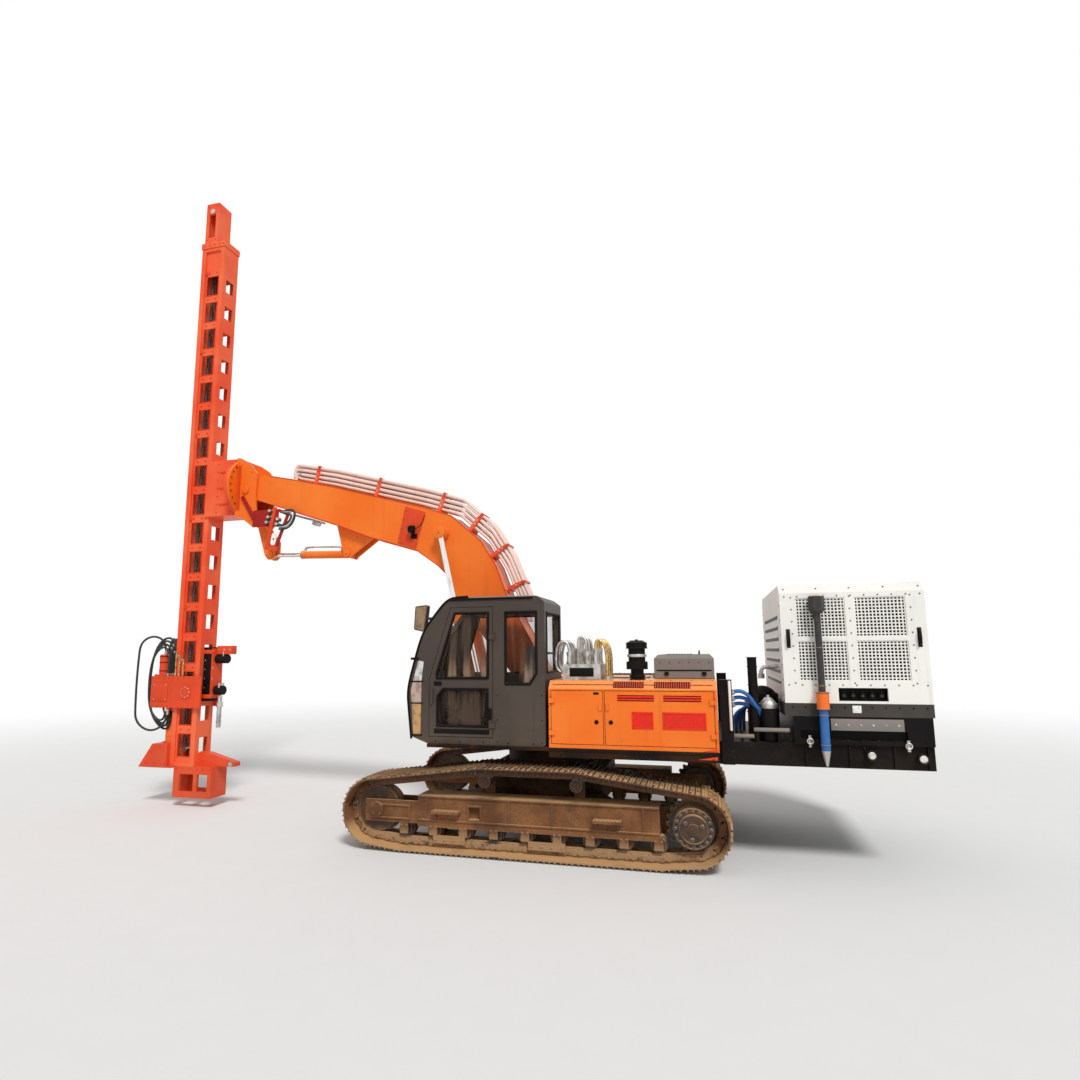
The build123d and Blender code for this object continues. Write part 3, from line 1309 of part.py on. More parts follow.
def grille(x, z, side):
    """One perforated sheet, set into its hole in the canopy."""
    y = sorted((side * (PLATFORM_HALF_WIDTH - 12), side * (PLATFORM_HALF_WIDTH - 12 - GRILLE_SHEET)))
    sheet = block((x, x + GRILLE_WIDTH), y, (z, z + GRILLE_HEIGHT))
    columns = int((GRILLE_WIDTH - 40) / GRILLE_PITCH)
    rows = int((GRILLE_HEIGHT - 40) / GRILLE_PITCH)
    first_x = x + (GRILLE_WIDTH - (columns - 1) * GRILLE_PITCH) / 2
    first_z = z + (GRILLE_HEIGHT - (rows - 1) * GRILLE_PITCH) / 2
    hole = GRILLE_HOLE / 2
    holes = []
    for column in range(columns):
        for row in range(rows):
            cx, cz = first_x + column * GRILLE_PITCH, first_z + row * GRILLE_PITCH
            holes.append(block((cx - hole, cx + hole), (y[0] - 1, y[1] + 1), (cz - hole, cz + hole)))
    return sheet.cut(*holes)


def separator_tank():
    """The upright air tank between the house and the canopy, and the pipe in front of it."""
    floor = PLATFORM_FLOOR + 240
    tank = bar_z(2640, -620, 170, (floor, floor + 490))
    dome = Pos(2640, -620, floor + 490) * Sphere(170, arc_size1=0, arc_size2=90)
    return [tank + dome, bar_z(2520, -1000, 50, (floor, floor + 900))]


def tool_pole():
    """The long drilling tool that stands on the canopy's side, held by two clips."""
    x, y = CANOPY_FRONT + 360, -PLATFORM_HALF_WIDTH - TOOL_STAND
    tip, foot, neck = PLATFORM_FLOOR + 30, PLATFORM_FLOOR + 180, PLATFORM_FLOOR + 600
    crown = CANOPY_TOP - 300
    pole = bar_z(x, y, 45, (foot, neck)) + bar_z(x, y, 62, (neck, neck + 180))
    pole += bar_z(x, y, 34, (neck + 180, crown))
    pole += Pos(x, y, tip) * Cone(12, 45, foot - tip, align=(Align.CENTER, Align.CENTER, Align.MIN))
    pole += Pos(x, y, crown) * extrude(RegularPolygon(80, 6), 160)
    for z in (PLATFORM_TOP - 85, crown - 80):
        pole += block((x - 20, x + 20), (y, -PLATFORM_HALF_WIDTH), (z, z + 50))
    return pole


def compressor():
    save("platform_frame", platform())
    save("compressor_base", compressor_base())
    save("canopy", canopy())
    save("grille_panels", *[
        grille(x, z, side) for side in (-1, 1) for x, z in grille_places()
    ])
    save("compressor_unit", block(
        (CANOPY_FRONT + UNIT_CLEAR, REAR_REACH - UNIT_CLEAR), (-UNIT_HALF_WIDTH, UNIT_HALF_WIDTH),
        (CANOPY_FLOOR, CANOPY_TOP - UNIT_CLEAR - 120),
    ))
    save("separator_tank", *separator_tank())
    save("tool_pole", tool_pole())


def main():
    os.makedirs("parts", exist_ok=True)
    undercarriage()
    house()
    cab_pieces()
    mast_pieces()
    compressor()


main()
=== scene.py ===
"""The looks of a drill rig on an excavator: its finishes, trim, hoses, seat and stage."""
import math

import bmesh
import bpy
from bpy.props import FloatProperty, FloatVectorProperty, IntProperty, PointerProperty
from bpy.types import Operator, Panel, PropertyGroup
from mathutils import Matrix, Vector


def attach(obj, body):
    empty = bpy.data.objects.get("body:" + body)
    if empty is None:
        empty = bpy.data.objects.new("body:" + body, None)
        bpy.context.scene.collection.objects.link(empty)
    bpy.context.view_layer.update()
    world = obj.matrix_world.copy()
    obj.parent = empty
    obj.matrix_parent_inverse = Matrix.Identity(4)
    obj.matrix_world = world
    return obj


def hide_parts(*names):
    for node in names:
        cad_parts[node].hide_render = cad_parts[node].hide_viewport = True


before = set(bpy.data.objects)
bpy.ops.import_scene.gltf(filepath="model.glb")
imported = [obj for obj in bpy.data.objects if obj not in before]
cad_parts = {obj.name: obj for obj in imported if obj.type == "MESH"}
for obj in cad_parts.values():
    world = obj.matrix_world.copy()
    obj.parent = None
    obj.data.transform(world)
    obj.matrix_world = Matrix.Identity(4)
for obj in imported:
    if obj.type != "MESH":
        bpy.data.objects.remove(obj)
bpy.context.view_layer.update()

bl_info = {
    "name": "Excavator drill rig looks",
    "version": (1, 0, 0),
    "blender": (4, 5, 0),
    "location": "3D View > Sidebar > Drill rig",
    "description": "Finishes, trim, hoses, seat and stage for the drill rig's packed model",
    "category": "Object",
}

SHARP = math.radians(38)

# The slew axis, and how far the outer faces lie from the middle plane
SLEW_X = 1.115
HOUSE_SIDE, CAB_SIDE, CANOPY_SIDE = 1.355, 1.331, 1.15
BOOM_SIDE, ROTARY_SIDE = 0.2105, 0.23

# The drill's axis, the swing flange and the windows up the mast's beam
DRILL_X = -6.10
FLANGE_Z, FLANGE_RADIUS = 4.88, 0.41
WINDOW_FOOT, WINDOW_PITCH, WINDOWS, BEAM_TOP = 0.73, 0.47, 17, 9.0

UP = Vector((0, 0, 1))
NEAR, FAR = Vector((0, -1, 0)), Vector((0, 1, 0))
AHEAD, BEHIND = Vector((-1, 0, 0)), Vector((1, 0, 0))
SIDES = ((-1, NEAR), (1, FAR))
WHITE = (1.0, 1.0, 1.0, 1.0)


def at(x, y, z):
    """A point counted from the slew axis, in the row's frame, in metres."""
    return Vector((x + SLEW_X, y, z))


def row(first, step, count):
    """Places along a line."""
    return [first + i * step for i in range(count)]


# Finishes

class Socket:
    """A node's output in an expression: each operator adds a Math node."""

    def __init__(self, nodes, output):
        self.nodes = nodes
        self.output = output

    def maths(self, operation, *values):
        settings = {"operation": operation}
        return self.nodes.node("ShaderNodeMath", settings, dict(enumerate(values)))

    def __add__(self, other):
        return self.maths("ADD", self, other)

    def __sub__(self, other):
        return self.maths("SUBTRACT", self, other)

    def __rsub__(self, other):
        return self.maths("SUBTRACT", other, self)

    def __mul__(self, other):
        return self.maths("MULTIPLY", self, other)

    def __gt__(self, other):
        return self.maths("GREATER_THAN", self, other)

    __radd__ = __add__
    __rmul__ = __mul__

    def clamp(self):
        return self.nodes.node("ShaderNodeClamp", {}, {"Value": self})

    def between(self, low, high):
        """0 below low, 1 above high, smooth between."""
        settings = {"interpolation_type": "SMOOTHSTEP"}
        inputs = {"Value": self, "From Min": low, "From Max": high}
        return self.nodes.node("ShaderNodeMapRange", settings, inputs)


class Nodes:
    """A node tree, emptied, and the one call that fills it."""

    def __init__(self, tree):
        self.tree = tree
        tree.nodes.clear()

    def node(self, kind, settings, inputs, output=0):
        """One node: its type, its settings, then its sockets' values or links."""
        made = self.tree.nodes.new(kind)
        for name, value in settings.items():
            setattr(made, name, value)
        for name, value in inputs.items():
            if isinstance(value, Socket):
                self.tree.links.new(value.output, made.inputs[name])
            else:
                made.inputs[name].default_value = value
        return Socket(self, made.outputs[output]) if output is not None else None

    def seen(self):
        """1 for what the camera, a mirror or a pane looks at, 0 for light on the object."""
        camera, mirror, pane = (self.node("ShaderNodeLightPath", {}, {}, name) for name in (
            "Is Camera Ray", "Is Glossy Ray", "Is Transmission Ray"))
        return (camera + mirror + pane).clamp()


class Finish(Nodes):
    """A material and the looks that its surface can take."""

    def __init__(self, name):
        self.material = bpy.data.materials.new("rig_" + name)
        self.material.use_nodes = True
        super().__init__(self.material.node_tree)
        self.place = self.node("ShaderNodeTexCoord", {}, {}, "Object")
        self.normal = self.node("ShaderNodeNewGeometry", {}, {}, "Normal")
        self.up = self.node("ShaderNodeSeparateXYZ", {}, {"Vector": self.normal}, "Z")
        self.height = self.node("ShaderNodeSeparateXYZ", {}, {"Vector": self.place}, "Z")

    def stretched(self, scale):
        return self.node("ShaderNodeMapping", {}, {"Vector": self.place, "Scale": scale})

    def noise(self, scale, detail=4.0, stretch=None):
        vector = self.stretched(stretch) if stretch else self.place
        inputs = {"Vector": vector, "Scale": scale, "Detail": detail}
        return self.node("ShaderNodeTexNoise", {}, inputs)

    def waves(self, direction, scale):
        """Even stripes across X, Y or Z."""
        inputs = {"Vector": self.place, "Scale": scale}
        return self.node("ShaderNodeTexWave", {"bands_direction": direction}, inputs)

    def mix(self, factor, first, second):
        """One colour over another by a factor."""
        inputs = {0: factor, 6: colour(first), 7: colour(second)}
        return self.node("ShaderNodeMix", {"data_type": "RGBA"}, inputs, 2)

    def edges(self, radius):
        """1 along worn outer edges and 0 on flat faces."""
        soft = self.node("ShaderNodeBevel", {"samples": 4}, {"Radius": radius})
        settings = {"operation": "DOT_PRODUCT"}
        same = self.node("ShaderNodeVectorMath", settings, {0: soft, 1: self.normal}, "Value")
        return (1.0 - same).between(0.02, 0.16)

    def close(self, base, roughness, bump=None, strength=0.3, distance=0.002, soften=0.0, **shader):
        """The Principled shader with its bump, and the material itself."""
        inputs = {"Base Color": colour(base), "Roughness": roughness}
        inputs.update({name.replace("_", " "): value for name, value in shader.items()})
        if bump is not None:
            height = {"Height": bump, "Strength": strength, "Distance": distance}
            if soften:
                height["Normal"] = self.node("ShaderNodeBevel", {"samples": 4}, {"Radius": soften})
            inputs["Normal"] = self.node("ShaderNodeBump", {}, height)
        shaded = self.node("ShaderNodeBsdfPrincipled", {}, inputs)
        self.node("ShaderNodeOutputMaterial", {}, {"Surface": shaded}, None)
        return self.material


def colour(value):
    """A colour with its alpha, or the socket that gives one."""
    return value if isinstance(value, Socket) else (*value[:3], 1.0)


def darker(value, share):
    return tuple(part * share for part in value[:3])


def painted(name, paint, aged, gloss, dust, splash, wear, bleached=None, shine=0.2):
    """Sprayed steel: faded in patches, streaked by rain, dusty on top, chipped at its edges, and
    paler on up-facing faces, where a colour for them is given, as a painted highlight.
    """
    f = Finish(name)
    look = bpy.context.scene.rig_colours
    patches = f.noise(6.0, 5.0)
    streaks = f.noise(4.0, 4.0, (3.0, 3.0, 0.22))
    grain = f.noise(160.0, 2.0)
    base = f.mix(f.noise(1.3, 3.0).between(0.35, 0.68) * 0.8, paint, aged)
    base = f.mix(streaks.between(0.55, 0.8) * 0.35, base, darker(aged, 0.62))
    # Up-facing faces mixed towards a paler colour: a painted highlight of light from above
    if bleached:
        base = f.mix(f.up.between(0.4, 0.9) * 0.6, base, bleached)
    low = 1.0 - f.height.between(*splash)
    film = (f.up.between(0.3, 0.95) * 0.55 + low * 0.9) * patches.between(0.3, 0.66) * dust
    film = film.clamp()
    base = f.mix(film, base, look.dust)
    chips = f.edges(0.011) * f.noise(34.0, 6.0).between(0.5, 0.6) * wear
    chips = (chips + f.noise(21.0, 8.0).between(0.71, 0.74) * wear * 0.6).clamp()
    base = f.mix(chips, base, look.rust)
    roughness = (gloss + film * 0.4 + chips * 0.35 + streaks * 0.08).clamp()
    bump = grain * 0.15 + patches * 0.5 - chips * 0.8
    return f.close(base, roughness, bump, 0.22, 0.0012, 0.004, Specular_IOR_Level=shine)


def muddy(name, steel, wet, cover, bare=0.36):
    """Bare steel under caked earth: pale where it has dried, dark in its pores, worn at edges,
    dust-coloured near the ground with a painted highlight, darker 0.55 to 0.95 m up as painted
    shade, and paler on up faces as a painted highlight.
    """
    f = Finish(name)
    look = bpy.context.scene.rig_colours
    lumps = f.noise(9.0, 8.0)
    crumbs = f.noise(70.0, 6.0)
    broad = f.noise(2.2, 4.0)
    earth = f.mix(broad.between(0.35, 0.65), look.mud, look.dried_mud)
    earth = f.mix(crumbs.between(0.5, 0.72) * 0.6, earth, darker(look.mud, 0.45))
    # Dust-coloured near the ground: dust on the lower run, with a painted highlight on its sides
    earth = f.mix(1.0 - f.height.between(0.12, 0.3), earth, look.dust)
    # Darker from 0.55 to 0.95 m up: painted shade between the top run and the frame
    earth = f.mix(f.height.between(0.55, 0.95) * 0.75, earth, darker(look.mud, 0.4))
    # Paler earth on up faces: a painted highlight of light from above
    earth = f.mix(f.up.between(0.25, 0.7) * broad.between(0.2, 0.5), earth, look.baked)
    cake = (lumps.between(bare, bare + 0.16) * cover + f.up.between(0.25, 0.7)).clamp()
    base = f.mix(cake, f.mix(lumps.between(0.3, 0.6), wet, steel), earth)
    bright = f.edges(0.012) * (1.0 - cake * 0.6) * 0.7
    base = f.mix(bright, base, look.worn_steel)
    roughness = (0.55 + cake * 0.35 - bright * 0.3).clamp()
    bump = lumps * cake + crumbs * 0.35
    return f.close(base, roughness, bump, 0.55, 0.006, 0.004, Metallic=(bright * 0.8).clamp())


# name: paint, faded paint, roughness, dust, heights of the splashed part, wear, and what differs
PAINTS = {
    # The orange's paler colour for up-facing faces is a painted highlight
    "orange_paint": (
        "orange", "orange_faded", 0.3, 0.2, (0.2, 1.4), 0.6, {"bleached": (0.95, 0.48, 0.18)}),
    "red_paint": ("red", "red_faded", 0.34, 0.16, (0.1, 0.9), 0.55, {}),
    "red_trim": (("red", 0.8), "red", 0.4, 0.2, (0.2, 1.4), 0.6, {}),
    "mesh_red": ((0.9, 0.028, 0.012), (0.82, 0.04, 0.02), 0.45, 0.1, (0.2, 1.4), 0.6, {}),
    # Dark red for plates at the head: red paint in painted shade
    "deep_red": ((0.34, 0.012, 0.009), (0.5, 0.02, 0.014), 0.45, 0.1, (0.2, 1.4), 0.6, {}),
    "cab_paint": ("cab", ("cab", 1.35), 0.42, 0.1, (0.9, 1.9), 0.35, {}),
    "black_paint": ("black", ("black", 2.0), 0.4, 0.1, (0.5, 1.5), 0.4, {"shine": 0.09}),
    "muddy_black": ("black", ("mud", 0.5), 0.5, 0.4, (0.3, 1.2), 0.6, {"shine": 0.1}),
    "white_paint": ("white", ("white", 0.93), 0.36, 0.16, (1.2, 2.1), 0.22, {}),
    "grey_paint": ("grey", ("grey", 0.8), 0.45, 0.35, (1.0, 2.0), 0.4, {}),
    "dark_grey": (("grey", 0.2), ("grey", 0.3), 0.45, 0.2, (1.0, 1.9), 0.6, {"shine": 0.12}),
    # Pale pink: the pipes' red-orange paint lightened by a painted highlight
    "pipe_paint": ("pipe", ("pipe", 0.85), 0.28, 0.12, (0.2, 1.0), 0.5, {}),
}


def tone(value):
    """A colour from the settings by its name, a share of one, or a colour as it is."""
    look = bpy.context.scene.rig_colours
    if isinstance(value, str):
        return getattr(look, value)
    return darker(getattr(look, value[0]), value[1]) if isinstance(value[0], str) else value


def track_steel():
    return muddy("track_steel", (0.1, 0.055, 0.03), (0.03, 0.015, 0.008), 0.95, 0.3)


def frame_mud():
    return muddy("frame_mud", (0.15, 0.07, 0.027), (0.07, 0.032, 0.013), 1.0, 0.24)


def roller_steel():
    return muddy("roller_steel", (0.05, 0.026, 0.014), (0.014, 0.009, 0.006), 0.3)


def machined_steel():
    f = Finish("machined_steel")
    brushed = f.noise(90.0, 3.0, (1.0, 1.0, 6.0))
    stain = f.noise(11.0, 5.0)
    base = f.mix(stain.between(0.4, 0.7), (0.62, 0.6, 0.57), (0.33, 0.29, 0.25))
    roughness = (0.26 + brushed * 0.2 + stain * 0.15).clamp()
    return f.close(base, roughness, brushed, 0.12, 0.0006, Metallic=0.9)


def brass():
    f = Finish("brass")
    stain = f.noise(26.0, 5.0)
    base = f.mix(stain.between(0.42, 0.66), (0.72, 0.5, 0.2), (0.36, 0.22, 0.09))
    return f.close(base, (0.28 + stain * 0.25).clamp(), stain, 0.1, 0.0005, Metallic=0.95)


def rod_chrome():
    f = Finish("rod_chrome")
    scratch = f.noise(60.0, 3.0, (1.0, 1.0, 0.1))
    base = f.mix(scratch.between(0.45, 0.75), (0.86, 0.85, 0.83), (0.62, 0.6, 0.57))
    return f.close(base, (0.1 + scratch * 0.16).clamp(), scratch, 0.05, 0.0004, Metallic=1.0)


def hose_rubber():
    f = Finish("hose_rubber")
    dust = f.noise(18.0, 5.0)
    weave = f.noise(420.0, 2.0)
    base = f.mix(dust.between(0.5, 0.75) * 0.5, (0.018, 0.018, 0.018), (0.13, 0.11, 0.09))
    return f.close(base, (0.5 + dust * 0.25).clamp(), weave + dust * 0.4, 0.25, 0.0006)


def blue_hose():
    f = Finish("blue_hose")
    dust = f.noise(16.0, 5.0)
    base = f.mix(dust.between(0.45, 0.75) * 0.6, (0.015, 0.12, 0.42), (0.07, 0.16, 0.3))
    return f.close(base, (0.42 + dust * 0.3).clamp(), dust, 0.2, 0.001)


def window_glass():
    f = Finish("window_glass")
    streaks = f.noise(6.0, 2.0, (1.6, 1.6, 0.2))
    foot = (f.height > 1.9) * (1.0 - f.height.between(1.96, 2.3))
    film = (streaks.between(0.42, 0.62) * (0.35 + foot * 0.65)).clamp()
    base = f.mix(film, (0.05, 0.03, 0.02), (0.5, 0.33, 0.22))
    rough, cover = (0.05 + film * 0.4).clamp(), 0.09 + film * 0.3
    return f.close(base, rough, Alpha=cover, Specular_IOR_Level=0.25)


def seat_fabric():
    f = Finish("seat_fabric")
    weave = f.waves("Y", 260.0) * f.waves("Z", 260.0)
    worn = f.noise(9.0, 5.0)
    base = f.mix(weave, (0.05, 0.052, 0.06), (0.14, 0.14, 0.15))
    base = f.mix(worn.between(0.5, 0.75) * 0.5, base, (0.2, 0.19, 0.18))
    rough = (0.82 + worn * 0.12).clamp()
    return f.close(base, rough, weave + worn * 0.5, 0.4, 0.0008, Sheen_Weight=0.25)


def lamp_glass():
    f = Finish("lamp_glass")
    ribs = f.waves("X", 60.0)
    dirt = f.noise(22.0, 5.0)
    base = f.mix(dirt.between(0.45, 0.75), (0.82, 0.82, 0.8), (0.5, 0.43, 0.34))
    return f.close(base, (0.1 + dirt * 0.3).clamp(), ribs, 0.3, 0.001, Metallic=0.5)


def mirror_glass():
    f = Finish("mirror_glass")
    dust = f.noise(14.0, 5.0)
    # The tan colours are a painted reflection of the ground, mottled by noise
    base = f.mix(dust.between(0.4, 0.7), (0.3, 0.2, 0.11), (0.17, 0.11, 0.065))
    return f.close(base, (0.2 + dust * 0.3).clamp(), dust, 0.04, 0.0004, Metallic=0.3)


def corner_glass():
    """The curved pane beside the windscreen: a painted reflection of pale sky above and tan ground
    below.
    """
    f = Finish("corner_glass")
    dirt = f.noise(12.0, 5.0)
    base = f.mix(f.height.between(1.62, 1.7), (0.55, 0.3, 0.11), (0.5, 0.36, 0.29))
    base = f.mix(f.height.between(1.9, 1.97), base, (0.66, 0.66, 0.65))
    base = f.mix(dirt.between(0.45, 0.62) * 0.6, base, (0.2, 0.12, 0.08))
    return f.close(base, (0.08 + dirt * 0.3).clamp(), dirt, 0.05, 0.0006)


def tool_bands():
    """The drilling tool: a steel tip, a blue sleeve, an orange collar and a black rod above."""
    f = Finish("tool_bands")
    look = bpy.context.scene.rig_colours
    stain = f.noise(24.0, 5.0)
    rings = f.waves("Z", 22.0)
    base = f.mix(f.height > 1.245, (0.55, 0.52, 0.48), (0.02, 0.13, 0.4))
    base = f.mix(f.height > 1.66, base, look.orange)
    base = f.mix(f.height > 1.842, base, (0.018, 0.018, 0.02))
    base = f.mix(stain.between(0.5, 0.72) * 0.12, base, look.dust)
    metal = (1.0 - (f.height > 1.245)) * 0.8
    rough = (0.3 + stain * 0.35).clamp()
    return f.close(base, rough, rings * 0.3 + stain, 0.25, 0.002, Metallic=metal)


FINISHES = {
    maker.__name__: maker for maker in (
        track_steel, frame_mud, roller_steel, machined_steel, brass, rod_chrome, hose_rubber,
        blue_hose, window_glass, seat_fabric, lamp_glass, mirror_glass, corner_glass, tool_bands,
    )
}

# finish: the model's own nodes that carry it
NODE_FINISHES = {
    "orange_paint": (
        "house_shell", "fuel_tank", "side_door_front", "side_door_rear", "side_door_right", "boom",
        "lift_barrels", "tilt_barrel", "tilt_head", "spindle",
    ),
    "red_paint": (
        "pipe_clamps", "swing_flange", "guide_cheeks", "guide_rungs", "mast_beam", "mast_top",
    ),
    "red_trim": ("rotary_head", "rotary_plates", "mast_foot", "guard_table"),
    "cab_paint": ("cab_shell", "cab_door"),
    "black_paint": (
        "engine_block", "handrails", "exhaust_stack", "seat_frame", "cab_console", "platform_frame",
        "compressor_unit", "separator_tank", "feed_motor",
    ),
    "muddy_black": ("carbody", "deck_frame"),
    "white_paint": ("canopy", "grille_panels"),
    "grey_paint": ("engine_hood",),
    "dark_grey": ("compressor_base",),
    "pipe_paint": ("boom_pipes",),
    "track_steel": ("track_left", "track_right"),
    "frame_mud": ("track_frame_left", "track_frame_right"),
    "roller_steel": ("idlers", "bottom_rollers", "carrier_rollers", "sprockets"),
    "machined_steel": ("valve_block", "feed_shoes"),
    "rod_chrome": ("lift_rods", "tilt_rod"),
    "hose_rubber": ("rotary_hose_outer", "rotary_hose_inner"),
    "window_glass": ("cab_glass", "door_glass"),
    "seat_fabric": ("seat_cushions",),
    "tool_bands": ("tool_pole",),
}


# finish: the slot of a piece that carries it, where the piece itself names no other
SLOTS = {
    "red_trim": "red_paint", "mesh_red": "red_paint", "deep_red": "red_paint",
    "muddy_black": "black_paint", "dark_grey": "black_paint", "blue_hose": "hose_rubber",
    "frame_mud": "track_steel", "roller_steel": "machined_steel", "brass": "machined_steel",
    "lamp_glass": "machined_steel", "mirror_glass": "machined_steel",
    "corner_glass": "window_glass",
}


def finish(name):
    """A finish's material, made when it is first asked for."""
    made = bpy.data.materials.get("rig_" + name)
    if made is None and name in PAINTS:
        paint, aged, *rest, differs = PAINTS[name]
        made = painted(name, tone(paint), tone(aged), *rest, **differs)
    return made or FINISHES[name]()


# Shapes

class Shape:
    """A mesh that grows by boxes, rods, plates, rings, bolts and pipes."""

    def __init__(self):
        self.bm = bmesh.new()

    def bevel(self, edges, width):
        bmesh.ops.bevel(
            self.bm, geom=list(set(edges)), offset=width, affect="EDGES", segments=2, profile=0.5,
            material=-1, clamp_overlap=True,
        )

    def box(self, low, high, edge=0.0):
        """A box between two opposite corners, its edges rounded."""
        low, high = Vector(low), Vector(high)
        size = [abs(part) for part in high - low]
        place = Matrix.Translation((low + high) / 2) @ Matrix.Diagonal((*size, 1.0))
        made = bmesh.ops.create_cube(self.bm, size=1.0, matrix=place)["verts"]
        if edge:
            self.bevel([e for v in made for e in v.link_edges], edge)
        return self

    def rod(self, start, end, radius, sides=16, tip=None, edge=0.0):
        """A round bar, a cone where tip gives the far end its own radius."""
        start, end = Vector(start), Vector(end)
        axis = end - start
        turn = axis.to_track_quat("Z", "Y").to_matrix().to_4x4()
        place = Matrix.Translation((start + end) / 2) @ turn
        made = bmesh.ops.create_cone(
            self.bm, cap_ends=True, segments=sides, radius1=radius,
            radius2=radius if tip is None else tip, depth=axis.length, matrix=place,
        )["verts"]
        if edge:
            self.bevel([e for v in made for e in v.link_edges if len(e.link_faces) == 2
                        and max(len(face.verts) for face in e.link_faces) > 4], edge)
        return self

    def bolt(self, place, axis, size):
        """A washer and a six-sided head on a face."""
        place, axis = Vector(place), Vector(axis)
        self.rod(place - axis * size * 0.2, place + axis * size * 0.18, size * 1.15, 12)
        self.rod(place, place + axis * size * 0.75, size * 0.86, 6, size * 0.78)
        return self

    def rows(self, xs, ys, zs, axis, size):
        """Bolts at every crossing of the places along X, Y and Z."""
        for x in xs:
            for y in ys:
                for z in zs:
                    self.bolt(at(x, y, z), axis, size)
        return self

    def disc(self, centre, axis, height, radius, sides=24, edge=0.003):
        """A flat round cap on a face."""
        return self.rod(centre, centre + Vector(axis) * height, radius, sides, edge=edge)

    def bolts(self, centre, axis, radius, count, size, first=0.0):
        """A circle of bolts on an upright face, or on a level one, from an angle on."""
        centre, axis = Vector(centre), Vector(axis)
        for i in range(count):
            turn = first + i * math.pi * 2 / count
            across = math.sin(turn) * radius
            rise = (0, across, 0) if abs(axis.z) > 0.5 else (0, 0, across)
            self.bolt(centre + Vector((math.cos(turn) * radius, 0, 0)) + Vector(rise), axis, size)
        return self

    def ring(self, centre, axis, radius, thickness, sides=24):
        """A round bar bent to a ring."""
        axis = Vector(axis).normalized()
        turn = axis.to_track_quat("Z", "Y").to_matrix().to_4x4()
        place = Matrix.Translation(centre) @ turn
        upright = Matrix.Translation((radius, 0, 0)) @ Matrix.Rotation(math.pi / 2, 4, "X")
        section = bmesh.ops.create_circle(
            self.bm, segments=10, radius=thickness, matrix=place @ upright)["verts"]
        edges = list({edge for vert in section for edge in vert.link_edges})
        before = set(self.bm.faces)
        bmesh.ops.spin(
            self.bm, geom=section + edges, cent=centre, axis=axis, angle=2 * math.pi, steps=sides,
            use_merge=True,
        )
        made = [face for face in self.bm.faces if face not in before]
        bmesh.ops.recalc_face_normals(self.bm, faces=made)
        return self

    def prism(self, corners, depth):
        """A flat outline given a depth."""
        verts = [self.bm.verts.new(corner) for corner in corners]
        face = self.bm.faces.new(verts)
        made = bmesh.ops.extrude_face_region(self.bm, geom=[face])["geom"]
        moved = [item for item in made if isinstance(item, bmesh.types.BMVert)]
        bmesh.ops.translate(self.bm, vec=depth, verts=moved)
        faces = list({f for vert in verts + moved for f in vert.link_faces})
        bmesh.ops.recalc_face_normals(self.bm, faces=faces)
        return self

    def loop(self, points, radius, closed=True):
        """Round strips from point to point, each a little longer than its run."""
        ends = [*points[1:], points[0]] if closed else points[1:]
        for start, end in zip(points, ends):
            reach = (end - start).normalized() * radius * 0.5
            self.rod(start - reach, end + reach, radius, 8)
        return self

    def pipe(self, points, radius, sides=10):
        """A bent pipe: one smooth spline through the middle of its runs."""
        curve = bpy.data.curves.new("run", "CURVE")
        curve.dimensions = "3D"
        curve.bevel_depth = radius
        curve.bevel_resolution = max(1, sides // 2 - 2)
        curve.use_fill_caps = True
        curve.resolution_u = 6
        lay_spline(curve, points)
        holder = bpy.data.objects.new("run", curve)
        mesh = bpy.data.meshes.new_from_object(holder)
        self.bm.from_mesh(mesh)
        bpy.data.meshes.remove(mesh)
        bpy.data.objects.remove(holder)
        bpy.data.curves.remove(curve)
        return self

    def scatter(self, template, places):
        """Copies of a small shape, one at each matrix."""
        source = bpy.data.meshes.new("template")
        template.bm.to_mesh(source)
        for place in places:
            copy = source.copy()
            copy.transform(place)
            self.bm.from_mesh(copy)
            bpy.data.meshes.remove(copy)
        bpy.data.meshes.remove(source)
        template.bm.free()
        return self

    def done(self, name, finish_name, body, slot=None):
        """The object, with its finish, riding on a body."""
        for face in self.bm.faces:
            face.smooth = True
        for edge in self.bm.edges:
            edge.smooth = len(edge.link_faces) == 2 and edge.calc_face_angle(0.0) < SHARP
        mesh = bpy.data.meshes.new(name)
        self.bm.to_mesh(mesh)
        self.bm.free()
        mesh.materials.append(finish(finish_name))
        made = bpy.data.objects.new(name, mesh)
        bpy.context.scene.collection.objects.link(made)
        slot = slot or SLOTS.get(finish_name, finish_name)
        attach(made, body)
        return made


def lay_spline(curve, points):
    """A NURBS spline of order 3 that starts and ends at its first and last points."""
    spline = curve.splines.new("NURBS")
    spline.points.add(len(points) - 1)
    for point, place in zip(spline.points, points):
        point.co = (*place, 1.0)
    spline.order_u = 3
    spline.use_endpoint_u = True
    return spline


# Settings

